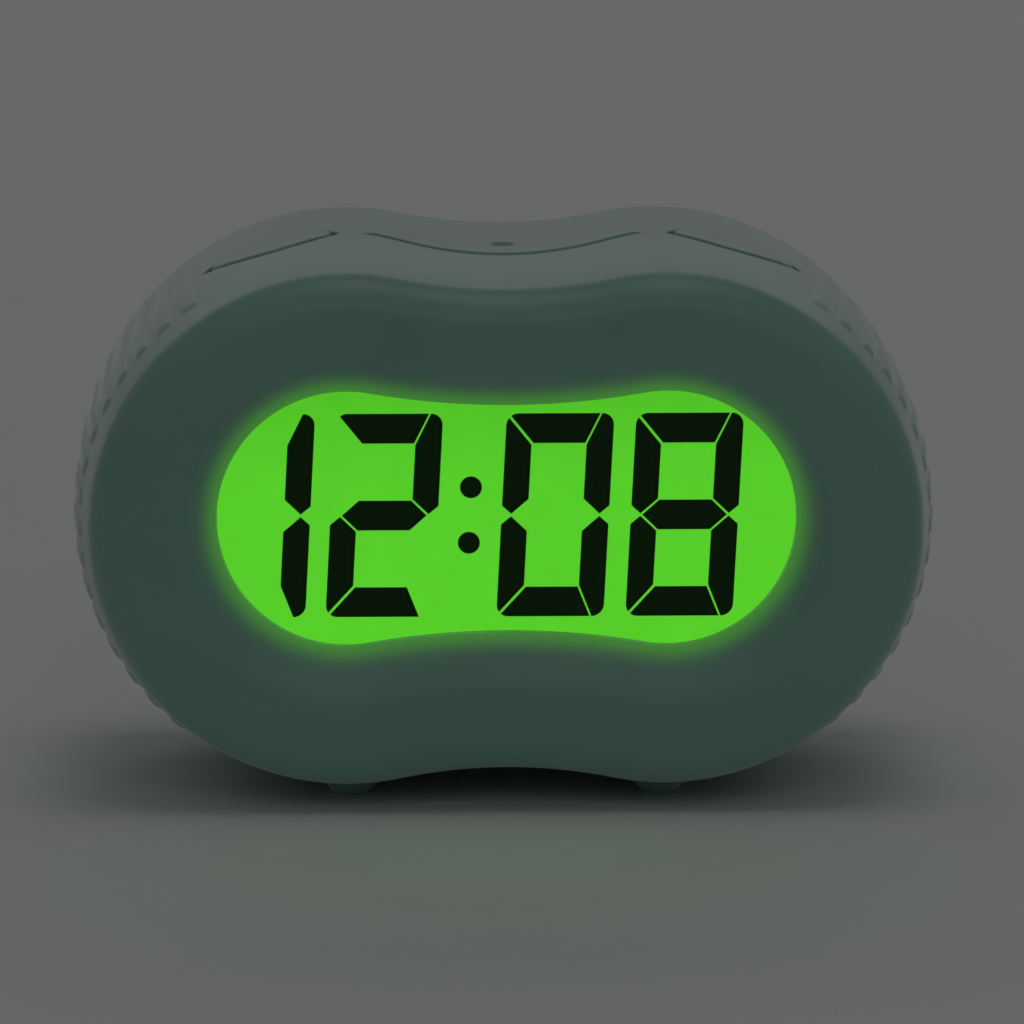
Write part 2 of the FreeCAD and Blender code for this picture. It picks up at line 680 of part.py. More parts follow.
def lcd_panel():
    z_range = (CENTRE_Z - LCD_HALF_H, CENTRE_Z + LCD_HALF_H)
    return box((-LCD_HALF_W, LCD_HALF_W), (LCD_FRONT, LCD_FRONT + LCD_T), z_range)


GUIDE_FRONT = LCD_FRONT + LCD_T + FIT
GUIDE_HALF_W = 33.5
GUIDE_LOW = CENTRE_Z - 14.4
GUIDE_HIGH = CENTRE_Z + 17.4
STRIP_Z = (CENTRE_Z - 17.6, CENTRE_Z - 15.6)
STRIP_HALF_W = 30.0
FRAME_HALF_W = 37.0
FRAME_SPAN_Z = (CENTRE_Z - 18.9, CENTRE_Z + 18.6)
LAMP_HALF_H = 2.4
LAMP_T = 2.1
LEG_HALF_T = 0.25


def light_guide():
    y_range = (GUIDE_FRONT, GUIDE_FRONT + GUIDE_T)
    return box((-GUIDE_HALF_W, GUIDE_HALF_W), y_range, (GUIDE_LOW, GUIDE_HIGH))


def reflector_sheet():
    back = GUIDE_FRONT + GUIDE_T + 0.05
    return box((-GUIDE_HALF_W, GUIDE_HALF_W), (back, back + 0.25), (GUIDE_LOW, GUIDE_HIGH))


def lcd_frame():
    """Moulded frame that holds the panel, light guide and lamps against the main board."""
    y_range = (GUIDE_FRONT - FIT / 2, BOARD_FRONT)
    block = box((-FRAME_HALF_W, FRAME_HALF_W), y_range, FRAME_SPAN_Z)
    through = (PAST_FRONT, 0)
    guide_x = (-GUIDE_HALF_W - FIT, GUIDE_HALF_W + FIT)
    guide = box(guide_x, through, (GUIDE_LOW - FIT, GUIDE_HIGH + FIT))
    strip_x = (-STRIP_HALF_W - FIT, STRIP_HALF_W + FIT)
    strip = box(strip_x, through, (STRIP_Z[0] - FIT, STRIP_Z[1] + FIT))
    lamp_z = (CENTRE_Z - LAMP_HALF_H - 0.6, CENTRE_Z + LAMP_HALF_H + 0.6)
    lamps = box((1 - FRAME_HALF_W, FRAME_HALF_W - 1), through, lamp_z)
    return block.cut([guide, strip, lamps])


def backlight_led(side):
    """Side-firing lamp at one end of the light guide, on two legs from the board."""
    inner = GUIDE_HALF_W + 2 * FIT
    x_range = sorted((side * inner, side * (inner + LAMP_T)))
    y_range = (GUIDE_FRONT + 2 * FIT, GUIDE_FRONT + GUIDE_T - 2 * FIT)
    body = box(x_range, y_range, (CENTRE_Z - LAMP_HALF_H, CENTRE_Z + LAMP_HALF_H))
    leg_x = side * (inner + LAMP_T / 2)
    leg_y = (y_range[1] - 0.3, BOARD_FRONT)
    legs = []
    for z in (CENTRE_Z - LAMP_HALF_H / 2, CENTRE_Z + LAMP_HALF_H / 2):
        legs.append(box((leg_x - LEG_HALF_T, leg_x + LEG_HALF_T), leg_y, (z - LEG_HALF_T, z + LEG_HALF_T)))
    return union([body] + legs)


def contact_strip():
    return box((-STRIP_HALF_W, STRIP_HALF_W), (LCD_FRONT + LCD_T, BOARD_FRONT), STRIP_Z)


# ---- boards and what sits on them ------------------------------------------------------
MAIN_BOARD_HALF_W = 37.2
MAIN_BOARD_Z = (CENTRE_Z - 19.0, CENTRE_Z + 18.0)
EAR_HALF_W = 43.6         # ears at mid height reach out to the bosses
EAR_HALF_H = 10.6
BOARD_HOLE_R = 1.1
BOARD_CORNER = 1.5


def main_board():
    y_range = (BOARD_FRONT, BOARD_FRONT + BOARD_T)
    plate = rounded_plate_y((-MAIN_BOARD_HALF_W, MAIN_BOARD_HALF_W), MAIN_BOARD_Z, y_range, BOARD_CORNER)
    ear_z = (CENTRE_Z - EAR_HALF_H, CENTRE_Z + EAR_HALF_H)
    ears = rounded_plate_y((-EAR_HALF_W, EAR_HALF_W), ear_z, y_range, BOARD_CORNER + 1)
    holes = []
    for x, rise in corner_places(BOARD_BOSS_X, BOARD_BOSS_RISE):
        holes.append(rod_y(x, CENTRE_Z + rise, BOARD_HOLE_R, (PAST_FRONT, 0)))
    return union([plate, ears]).cut(holes)


BOARD_BACK = BOARD_FRONT + BOARD_T
CHIP_X = -8.0
CHIP_RISE = -8.0
CRYSTAL_X = -24.0
CRYSTAL_RISE = 6.0
CAPACITOR_X = 16.0


def main_board_screws():
    screws = []
    for x, rise in corner_places(BOARD_BOSS_X, BOARD_BOSS_RISE):
        z = CENTRE_Z + rise
        head = rod_y(x, z, SMALL_SCREW_HEAD_R, (BOARD_BACK, BOARD_BACK + SMALL_SCREW_HEAD_T))
        shank = rod_y(x, z, SMALL_SCREW_R, (BOARD_BACK - BOARD_SCREW_LENGTH, BOARD_BACK))
        screws.append(union([head, shank]).cut(cross_slot(x, z, BOARD_BACK + 0.7, 1.0, 0.25)))
    return group(screws)


def controller_chip():
    """Bare chip under a round blob of black resin."""
    ball_r = 14.0
    rise = 2.0
    ball = Part.makeSphere(ball_r, Vector(CHIP_X, BOARD_BACK + rise - ball_r, CENTRE_Z + CHIP_RISE))
    return ball.common(box((CHIP_X - ball_r, CHIP_X + ball_r), (BOARD_BACK, 0), (0, PAST_TOP)))


def clock_crystal():
    can_r = 1.0
    y = BOARD_BACK + can_r + FIT
    z = CENTRE_Z + CRYSTAL_RISE
    can = rod_x(y, z, can_r, (CRYSTAL_X, CRYSTAL_X + 6.0))
    leads = [rod_x(y, z + off, 0.2, (CRYSTAL_X + 6.0, CRYSTAL_X + 7.8)) for off in (-0.4, 0.4)]
    pad = box((CRYSTAL_X + 7.4, CRYSTAL_X + 8.0), (BOARD_BACK, BOARD_BACK + 1.4), (z - 0.7, z + 0.7))
    return union([can, pad] + leads)


def smoothing_capacitor():
    can = rod_y(CAPACITOR_X, CENTRE_Z + CHIP_RISE, 2.5, (BOARD_BACK, BOARD_BACK + 6.0))
    return can.makeFillet(0.4, [can.Edges[0]])


def key_board():
    z_range = (KEY_BOARD_TOP - KEY_BOARD_T, KEY_BOARD_TOP)
    plate = rounded_plate_z((-KEY_BOARD_HALF_W, KEY_BOARD_HALF_W), KEY_BOARD_Y, z_range, BOARD_CORNER)
    holes = [rod_z(x, KEY_BOSS_Y, BOARD_HOLE_R, (0, PAST_TOP)) for x in (-KEY_BOSS_X, KEY_BOSS_X)]
    return plate.cut(holes)


def key_board_screws():
    screws = []
    under = KEY_BOARD_TOP - KEY_BOARD_T
    for x in (-KEY_BOSS_X, KEY_BOSS_X):
        head = rod_z(x, KEY_BOSS_Y, SMALL_SCREW_HEAD_R, (under - SMALL_SCREW_HEAD_T, under))
        shank = rod_z(x, KEY_BOSS_Y, SMALL_SCREW_R, (under, under + KEY_SCREW_LENGTH))
        screws.append(union([head, shank]))
    return group(screws)


def light_sensor():
    can_r = 1.6
    dome_r = 1.3
    dome_base = KEY_BOARD_TOP + 1.4
    can = rod_z(0, SENSOR_Y, can_r, (KEY_BOARD_TOP, dome_base))
    dome = Part.makeSphere(dome_r, Vector(0, SENSOR_Y, dome_base))
    return union([can, dome.common(rod_z(0, SENSOR_Y, can_r, (KEY_BOARD_TOP, dome_base + dome_r)))])


def rear_board():
    y_range = (REAR_BOARD_FACE - REAR_BOARD_T, REAR_BOARD_FACE)
    low, middle, high = CENTRE_Z + 6.9, CENTRE_Z + 13.0, CENTRE_Z + 17.6
    strip = rounded_plate_y((-23.4, 30.0), (low, high), y_range, 1.0)
    bridge = box((24.0, 31.5), y_range, (low, middle))
    side = rounded_plate_y((29.4, 41.6), (CENTRE_Z - 13.2, middle), y_range, 1.0)
    holes = [rod_y(x, CENTRE_Z + rise, BOARD_HOLE_R, (0, PAST_BACK)) for x, rise in REAR_BOSSES]
    return union([strip, bridge, side]).cut(holes)


def rear_board_screws():
    screws = []
    under = REAR_BOARD_FACE - REAR_BOARD_T
    for x, rise in REAR_BOSSES:
        z = CENTRE_Z + rise
        head = rod_y(x, z, SMALL_SCREW_HEAD_R, (under - SMALL_SCREW_HEAD_T, under))
        shank = rod_y(x, z, SMALL_SCREW_R - FIT, (under, under + REAR_SCREW_LENGTH))
        screws.append(union([head, shank]))
    return group(screws)


def upright_switch(x, y):
    """Tactile switch that stands on the key board, pressed from above."""
    half = SWITCH_W / 2
    low = KEY_BOARD_TOP
    body = box((x - half, x + half), (y - half, y + half), (low, low + SWITCH_H))
    floor = low + SWITCH_H - PLUNGER_SINK - WELL_SPARE
    well = rod_z(x, y, PLUNGER_R + PLUNGER_GAP, (floor, PAST_TOP))
    return body.cut(well)


def upright_plunger(x, y):
    top = KEY_BOARD_TOP + SWITCH_H
    return rod_z(x, y, PLUNGER_R, (top - PLUNGER_SINK, top + PLUNGER_RISE))


def back_switch(x, z):
    """Tactile switch that stands on the rear board, pressed from behind the clock."""
    half = SWITCH_W / 2
    low = REAR_BOARD_FACE
    body = box((x - half, x + half), (low, low + SWITCH_H), (z - half, z + half))
    floor = low + SWITCH_H - PLUNGER_SINK - WELL_SPARE
    well = rod_y(x, z, PLUNGER_R + PLUNGER_GAP, (floor, PAST_BACK))
    return body.cut(well)


def back_plunger(x, z):
    top = REAR_BOARD_FACE + SWITCH_H
    return rod_y(x, z, PLUNGER_R, (top - PLUNGER_SINK, top + PLUNGER_RISE))


# ---- keys, buttons and sliders ---------------------------------------------------------
KEY_DEPTH_SPAN = (-14.0, 14.0)
KEY_TOOL_SPAN = (-15.0, 15.0)
STEM_R = 1.6
SNOOZE_STEM_X = 8.0
SIDE_STEM_X = 27.0


def key_cap(lens, stem_places):
    """Hollow key whose top follows the jacket; a flange under the case roof keeps it in."""
    surface = inside(LOBE_R + KEY_PROUD).prism(KEY_DEPTH_SPAN)
    roof = inside(INNER_R - ROOF_GAP).prism(KEY_DEPTH_SPAN)
    foot = inside(INNER_R - ROOF_GAP - FLANGE_T).prism(KEY_TOOL_SPAN)
    below_skin = inside(LOBE_R + KEY_PROUD - KEY_SKIN)
    column = lens.without_tips(lens.prism(0, ROOF_CUT)).common(surface.cut(foot))
    flange = lens.prism(FLANGE_REACH, (CENTRE_Z, PAST_TOP)).common(roof.cut(foot))
    column = column.fuse(lens.prism(0, (CENTRE_Z, ROOF_CUT[0])).common(roof.cut(foot)))
    hollow = lens.prism(-KEY_WALL, (CENTRE_Z, PAST_TOP)).common(below_skin.prism(KEY_TOOL_SPAN))
    cap = column.fuse(flange).cut(hollow)
    plunger_top = KEY_BOARD_TOP + SWITCH_H + PLUNGER_RISE
    core = inside(LOBE_R + KEY_PROUD - KEY_SKIN + 0.4).prism(KEY_DEPTH_SPAN)
    stems = []
    for x in stem_places:
        stems.append(rod_z(x, KEY_MID_Y, STEM_R, (plunger_top, PAST_TOP)).common(core))
    return union([cap] + stems)


def sensor_surface():
    """Height of the snooze key's top on the middle line."""
    return CENTRE_Z + OUTER.waist_rise - OUTER.waist_r + KEY_PROUD


DIMPLE_DEPTH = 0.7
DIMPLE_R = 1.85
SENSOR_HOLE_R = 0.9


def snooze_key():
    top = sensor_surface()
    floor = Vector(0, SENSOR_Y, top - DIMPLE_DEPTH)
    dimple = Part.makeCone(SENSOR_HOLE_R, DIMPLE_R, DIMPLE_DEPTH, floor, Z_AXIS)
    above = rod_z(0, SENSOR_Y, DIMPLE_R, (top, PAST_TOP))
    hole = rod_z(0, SENSOR_Y, SENSOR_HOLE_R, (CENTRE_Z, top))
    cap = key_cap(SNOOZE_LENS, (-SNOOZE_STEM_X, SNOOZE_STEM_X))
    return cap.cut([dimple, above, hole])


def sensor_window():
    top = sensor_surface()
    return rod_z(0, SENSOR_Y, SENSOR_HOLE_R - FIT / 2, (top - KEY_SKIN + 0.2, top - DIMPLE_DEPTH - FIT / 2))


def back_button(x):
    face = COVER_BACK + BUTTON_PROUD
    behind_cover = COVER_SEAM - FIT
    cap = rod_y(x, BUTTON_Z, BUTTON_R, (behind_cover - FLANGE_T, face))
    rim = [edge for edge in cap.Edges if abs(edge.CenterOfMass.y - face) < 1e-6]
    cap = cap.makeFillet(0.4, rim)
    dish_r = 9.0
    dish = Part.makeSphere(dish_r, Vector(x, face + dish_r - BUTTON_DISH, BUTTON_Z))
    flange = rod_y(x, BUTTON_Z, BUTTON_R + FLANGE_REACH, (behind_cover - FLANGE_T, behind_cover))
    plunger_top = REAR_BOARD_FACE + SWITCH_H + PLUNGER_RISE
    stem = rod_y(x, BUTTON_Z, STEM_R, (plunger_top, behind_cover))
    return union([cap, flange, stem]).cut(dish)


SLIDE_BODY_H = 3.6
SLIDE_BODY_HALF_W = 2.2
SLIDE_BODY_HALF_H = 4.2
SLIDE_FOOT_HALF_W = 0.9
SLIDE_FOOT_HALF_H = 1.0
GRIP_DEPTH = 0.3


def slide_switch_housing(z):
    low = REAR_BOARD_FACE
    middle = z + SLIDER_TRAVEL / 2
    x_range = (SLIDER_X - SLIDE_BODY_HALF_W, SLIDER_X + SLIDE_BODY_HALF_W)
    z_range = (middle - SLIDE_BODY_HALF_H, middle + SLIDE_BODY_HALF_H)
    body = box(x_range, (low, low + SLIDE_BODY_H), z_range)
    slot_x = (SLIDER_X - SLIDE_FOOT_HALF_W - RUN, SLIDER_X + SLIDE_FOOT_HALF_W + RUN)
    reach = SLIDE_FOOT_HALF_H + RUN
    slot = box(slot_x, (low + BUTTON_TRAVEL + 1.1, PAST_BACK), (z - reach, z + SLIDER_TRAVEL + reach))
    return body.cut(slot)


def slider(z):
    """Finger knob of a slide switch, at the lower end of its throw."""
    foot_x = (SLIDER_X - SLIDE_FOOT_HALF_W, SLIDER_X + SLIDE_FOOT_HALF_W)
    foot_y = (REAR_BOARD_FACE + BUTTON_TRAVEL + 1.3, COVER_SEAM)
    foot = box(foot_x, foot_y, (z - SLIDE_FOOT_HALF_H, z + SLIDE_FOOT_HALF_H))
    top = COVER_BACK + BUTTON_PROUD - FIT
    knob_x = (SLIDER_X - KNOB_HALF_W, SLIDER_X + KNOB_HALF_W)
    knob = box(knob_x, (COVER_SEAM - 0.6, top), (z - KNOB_HALF_H, z + KNOB_HALF_H))
    grooves = []
    for step in (-0.8, 0.0, 0.8):
        z_range = (z + step - GRIP_DEPTH / 2, z + step + GRIP_DEPTH / 2)
        grooves.append(box(knob_x, (top - GRIP_DEPTH, PAST_BACK), z_range))
    return union([foot, knob]).cut(grooves)


# ---- buzzer, batteries, contacts and wires ---------------------------------------------
def buzzer():
    drum = rod_y(BUZZER_X, CENTRE_Z, BUZZER_R, BUZZER_SPAN)
    mouth = rod_y(BUZZER_X, CENTRE_Z, 1.3, (BUZZER_SPAN[1] - 1.0, PAST_BACK))
    return drum.cut(mouth)


def battery(rise, side):
    """Slim round cell; its raised end points to the given side."""
    z = BAY_Z + rise
    reach = BAY_HALF_L - CONTACT_DEPTH
    can = rod_x(CELL_Y, z, CELL_R, (reach - CELL_NUB - CELL_LENGTH, reach - CELL_NUB))
    can = can.makeFillet(0.5, [edge for edge in can.Edges if len(edge.Vertexes) == 1])
    nub = rod_x(CELL_Y, z, CELL_NUB_R, (reach - CELL_NUB - 0.2, reach))
    cell = union([can, nub])
    if side < 0:
        cell = cell.mirror(Vector(0, 0, 0), X_AXIS)
    return cell


CONTACT_DEPTH = 0.5       # depth that an end contact takes up, with its gaps
CONTACT_T = 0.4
CONTACT_HALF_H = 4.8
CONTACT_Y = (CELL_Y - 4.8, CELL_Y + 4.6)


def end_x(side):
    """Sideways span of the thin contact plate at one end of the bay."""
    outer = BAY_HALF_L - (CONTACT_DEPTH - CONTACT_T) / 2
    return sorted((side * outer, side * (outer - CONTACT_T)))


def terminal(rise):
    """Single contact at the bay's right end, with a solder tab through the wall."""
    z = BAY_Z + rise
    plate = box(end_x(1), CONTACT_Y, (z - CONTACT_HALF_H, z + CONTACT_HALF_H))
    tab_x = (BAY_HALF_L - CONTACT_T, BAY_HALF_L + 3.4)
    tab_y = (LEAD_START_Y, LEAD_START_Y + CONTACT_T)
    tab = box(tab_x, tab_y, (z - TAB_HALF_W, z + TAB_HALF_W))
    return union([plate, tab])


def contact_bridge():
    """One strip at the bay's left end that joins the two cells in line."""
    half = CELL_RISE + CONTACT_HALF_H
    return box(end_x(-1), CONTACT_Y, (BAY_Z - half, BAY_Z + half))


SPRING_R = 2.6
SPRING_WIRE_R = 0.3
SPRING_TURNS = 4
SPRING_ARCS = 4           # arcs in each turn


def contact_spring(rise, side):
    """Coiled contact between an end plate and the flat end of a cell."""
    length = 2 * (BAY_HALF_L - CONTACT_DEPTH) - CELL_LENGTH - CELL_NUB - 2 * FIT
    run = length - 2 * SPRING_WIRE_R
    arc_count = SPRING_TURNS * SPRING_ARCS

    def at(step):
        angle = 2 * math.pi * step / SPRING_ARCS
        return Vector(SPRING_R * math.cos(angle), SPRING_R * math.sin(angle), run * step / arc_count)

    turns = [arc(at(step), at(step + 0.5), at(step + 1)) for step in range(arc_count)]
    heading = turns[0].tangentAt(turns[0].FirstParameter)
    start = Part.makeCircle(SPRING_WIRE_R, at(0), heading)
    coil = Part.Wire(turns).makePipeShell([Part.Wire([start])], True, False)
    coil.rotate(Vector(0, 0, 0), Y_AXIS, 90)
    coil.translate(Vector(end_x(1)[0] - SPRING_WIRE_R - run, CELL_Y, BAY_Z + rise))
    if side < 0:
        coil = coil.mirror(Vector(0, 0, 0), X_AXIS)
    return coil


RIBBON_T = 0.3


def ribbon(path_low, path_high, x_range):
    """Flat ribbon cable: an arc between two boards, given by its middle line."""
    start, middle, end = path_low
    start_b, middle_b, end_b = path_high
    x = x_range[0]

    def at(point):
        return Vector(x, point[0], point[1])

    edges = [
        arc(at(start), at(middle), at(end)),
        line(at(end), at(end_b)),
        arc(at(end_b), at(middle_b), at(start_b)),
        line(at(start_b), at(start)),
    ]
    return Part.Face(Part.Wire(edges)).extrude(Vector(x_range[1] - x, 0, 0))


def key_ribbon():
    """From the underside of the key board to the back of the main board."""
    top = KEY_BOARD_TOP - KEY_BOARD_T
    radius = 6.0
    centre = (BOARD_BACK, top)
    diag = math.cos(math.radians(45))

    def quarter(r):
        start = (centre[0] + r, centre[1])
        middle = (centre[0] + r * diag, centre[1] - r * diag)
        return start, middle, (centre[0], centre[1] - r)

    return ribbon(quarter(radius), quarter(radius + RIBBON_T), (20.0, 27.0))


def rear_ribbon():
    """Slack ribbon from the main board to the rear board, above the battery bay."""
    z = CENTRE_Z + 12.0
    sag = 2.0
    far = REAR_BOARD_FACE - REAR_BOARD_T
    mid = (BOARD_BACK + far) / 2
    low = ((BOARD_BACK, z), (mid, z - sag), (far, z))
    high = ((BOARD_BACK, z + RIBBON_T), (mid, z - sag + RIBBON_T), (far, z + RIBBON_T))
    return ribbon(low, high, (-5.0, 5.0))


LEAD_R = 0.6
LEAD_BEND = 3.0


def bent_lead(points, bend):
    """Round wire along straight runs joined by tangent arcs."""
    edges = []
    last = points[0]
    for before, corner, after in zip(points, points[1:], points[2:]):
        towards = (before - corner).normalize()
        away = (after - corner).normalize()
        turn = math.pi - towards.getAngle(away)
        setback = bend * math.tan(turn / 2)
        enter = corner + towards * setback
        leave = corner + away * setback
        bisector = (towards + away).normalize()
        centre = corner + bisector * (bend / math.cos(turn / 2))
        middle = centre - bisector * bend
        edges += [line(last, enter), arc(enter, middle, leave)]
        last = leave
    edges.append(line(last, points[-1]))
    path = Part.Wire(edges)
    ring = Part.Wire([Part.makeCircle(LEAD_R, points[0], (points[1] - points[0]))])
    return path.makePipeShell([ring], True, True)


def battery_lead(rise, x_board):
    """From a battery terminal's tab to the back of the main board."""
    z = BAY_Z + rise
    x_tab = BAY_HALF_L + 3.0
    points = [Vector(x_tab, LEAD_START_Y, z), Vector(x_tab, 4.0, z)]
    points += [Vector(x_board, -3.0, z), Vector(x_board, BOARD_BACK, z)]
    return bent_lead(points, LEAD_BEND)


def buzzer_leads():
    leads = []
    for rise in (-2.5, 2.5):
        z = CENTRE_Z + rise
        x_board = BUZZER_X + 6.0
        points = [Vector(BUZZER_X, BUZZER_SPAN[0], z), Vector(BUZZER_X, 6.0, z)]
        points += [Vector(x_board, -2.0, z), Vector(x_board, BOARD_BACK, z)]
        leads.append(bent_lead(points, LEAD_BEND + 0.5))
    return group(leads)


# ---- every node ------------------------------------------------------------------------
def build():
    os.makedirs("parts", exist_ok=True)
    save(silicone_jacket(), "silicone_jacket")
    save(front_case(), "front_case")
    save(rear_cover(), "rear_cover")
    save(window_lens(), "window_lens")
    save(battery_door(), "battery_door")
    save(case_screws(), "case_screws")

    save(lcd_panel(), "lcd_panel")
    save(lcd_digits(), "lcd_digits")
    save(lcd_frame(), "lcd_frame")
    save(light_guide(), "light_guide")
    save(reflector_sheet(), "reflector_sheet")
    save(backlight_led(-1), "backlight_led_left")
    save(backlight_led(1), "backlight_led_right")
    save(contact_strip(), "contact_strip")

    save(main_board(), "main_board")
    save(main_board_screws(), "main_board_screws")
    save(controller_chip(), "controller_chip")
    save(clock_crystal(), "clock_crystal")
    save(smoothing_capacitor(), "smoothing_capacitor")

    save(key_board(), "key_board")
    save(key_board_screws(), "key_board_screws")
    save(light_sensor(), "light_sensor")
    snooze_switches = [upright_switch(x, KEY_MID_Y) for x in (-SNOOZE_STEM_X, SNOOZE_STEM_X)]
    save(group(snooze_switches), "snooze_switch_housings")
    snooze_plungers = [upright_plunger(x, KEY_MID_Y) for x in (-SNOOZE_STEM_X, SNOOZE_STEM_X)]
    save(group(snooze_plungers), "snooze_switch_plungers")
    save(snooze_key(), "snooze_key")
    save(sensor_window(), "sensor_window")
    for name, side, lens in (("left", -1, LEFT_LENS), ("right", 1, RIGHT_LENS)):
        x = side * SIDE_STEM_X
        save(key_cap(lens, (x,)), name + "_key")
        save(upright_switch(x, KEY_MID_Y), name + "_switch_housing")
        save(upright_plunger(x, KEY_MID_Y), name + "_switch_plunger")

    save(rear_board(), "rear_board")
    save(rear_board_screws(), "rear_board_screws")
    save(group([back_switch(x, BUTTON_Z) for x in BUTTON_X.values()]), "set_switch_housings")
    for name, x in BUTTON_X.items():
        save(back_button(x), name + "_button")
        save(back_plunger(x, BUTTON_Z), name + "_plunger")
    for name, z in SLIDER_Z.items():
        save(slide_switch_housing(z), name + "_slide_housing")
        save(slider(z), name + "_slider")

    save(buzzer(), "buzzer")
    save(buzzer_leads(), "buzzer_leads")
    save(battery(CELL_RISE, 1), "upper_battery")
    save(battery(-CELL_RISE, -1), "lower_battery")
    save(terminal(CELL_RISE), "positive_terminal")
    save(terminal(-CELL_RISE), "negative_terminal")
    save(contact_bridge(), "contact_bridge")
    save(group([contact_spring(CELL_RISE, -1), contact_spring(-CELL_RISE, 1)]), "contact_springs")
    save(battery_lead(CELL_RISE, 24.0), "battery_lead_red")
    save(battery_lead(-CELL_RISE, 24.0), "battery_lead_black")
    save(key_ribbon(), "key_ribbon")
    save(rear_ribbon(), "rear_ribbon")


build()
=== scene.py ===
"""Looks for the bedside LCD alarm clock: soft ribbed jacket, flush top keys and a backlit display."""
import math

import bmesh
import bpy
import numpy as np
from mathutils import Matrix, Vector


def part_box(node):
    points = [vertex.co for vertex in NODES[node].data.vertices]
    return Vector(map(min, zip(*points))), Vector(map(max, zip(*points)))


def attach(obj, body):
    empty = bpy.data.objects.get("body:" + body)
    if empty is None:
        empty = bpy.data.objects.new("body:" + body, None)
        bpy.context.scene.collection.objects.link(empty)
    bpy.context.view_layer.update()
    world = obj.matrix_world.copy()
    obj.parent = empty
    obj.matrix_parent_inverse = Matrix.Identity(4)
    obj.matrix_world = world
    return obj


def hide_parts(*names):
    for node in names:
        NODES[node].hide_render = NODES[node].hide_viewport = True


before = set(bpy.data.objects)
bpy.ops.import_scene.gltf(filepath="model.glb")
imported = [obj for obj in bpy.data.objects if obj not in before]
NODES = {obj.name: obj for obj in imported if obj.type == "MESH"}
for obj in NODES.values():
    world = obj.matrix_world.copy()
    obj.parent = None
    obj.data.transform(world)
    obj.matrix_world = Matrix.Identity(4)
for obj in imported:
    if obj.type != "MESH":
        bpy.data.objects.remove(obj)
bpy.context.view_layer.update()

# ---- driving dimensions, in millimetres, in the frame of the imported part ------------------
MM = 0.001
RIB_H = 0.3
FOOT_H = 1.2
LENS_MARGIN = 2.4         # the lens reaches this far under the jacket's front lip


def box_mm(node):
    low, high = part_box(node)
    return np.array(low) / MM, np.array(high) / MM


_, jacket_high = box_mm("silicone_jacket")
lens_low, lens_high = box_mm("window_lens")
panel_low, panel_high = box_mm("lcd_panel")
digits_low, digits_high = box_mm("lcd_digits")

LOBE_R = (jacket_high[2] - FOOT_H) / 2
LOBE_X = jacket_high[0] - LOBE_R - RIB_H
WAIST_R = 61.0
HALF_DEPTH = jacket_high[1]
CENTRE_Z = FOOT_H + LOBE_R
JACKET_T = 2.6
FIT = 0.1
RUN = 0.3
CASE_R = LOBE_R - JACKET_T - FIT
CASE_T = 2.0
INNER_R = CASE_R - CASE_T

WINDOW_R = (lens_high[2] - lens_low[2]) / 2 - LENS_MARGIN
WINDOW_LOBE_X = lens_high[0] - LENS_MARGIN - WINDOW_R
WINDOW_WAIST_R = 96.0
WINDOW_Z = (lens_high[2] + lens_low[2]) / 2
WINDOW_LIP = 0.3          # rounding where the dish turns in at the window

CREST_R = 21.2            # inside this the face slopes back to the window
DISH_R = 6.0              # rounding where that slope begins
DISH_SLOPE = math.radians(18.0)
CORNER_R = 4.8            # the flat front ring turns tightly towards the side
TAPER_R = 90.0            # and then more gently, over this many degrees, into the side
TAPER_TURN = 12.0
REAR_ROUND = 4.0
REAR_OPENING_R = 27.8
REAR_LIP = 1.05           # thickness of the lip that holds the rear cover
REAR_EDGE = 0.35          # rounding of that lip
CASE_ROUND = 7.0
POCKET_BACK = 16.0        # depth of the inside's last ring before the key openings
INNER_FRONT = lens_low[1] - FIT - FIT / 2
TAPER_START = CORNER_R - HALF_DEPTH + (TAPER_R - CORNER_R) * math.sin(math.radians(TAPER_TURN))

RIB_COUNT = 16
RIB_FIRST = 54.1
RIB_PITCH = 6.95
RIB_W = 2.1
RIB_EDGE = 0.8            # width of the slope on each side of a rib
RIB_FRONT = -17.9
RIB_BACK = 18.5
RIB_END = 1.8             # length of the slope at each end
RIB_SPARE = 0.2           # the close rows of the mesh reach this far past a slope

KEY_MID_Y = -1.4
KEY_BLOCK = 8.45          # the jacket's mesh is cut this far in front of and behind a key's middle
KEY_PROUD = 0.3
KEY_SKIN = 2.2
KEY_WALL = 1.4
TIP_CUT = 0.9
TIP_ROUND = 1.3
SNOOZE_LEAF = (0.0, 16.7, 5.3)
SIDE_KEY_X = 28.15
SIDE_LEAF = (8.15, 7.2)
SENSOR_Y = 0.4
SENSOR_HOLE_R = 0.9
KEY_EDGE = 0.35           # rounding of the jacket round each key
KEY_RIM = 0.4             # rounding of a key's own edge
KEY_SAG = 0.10            # how far a key's top has dropped where that rounding begins
FLANGE_REACH = 0.9        # the flange that keeps a key in
FLANGE_T = 1.0
ROOF_GAP = 0.2
STEM_R = 1.6


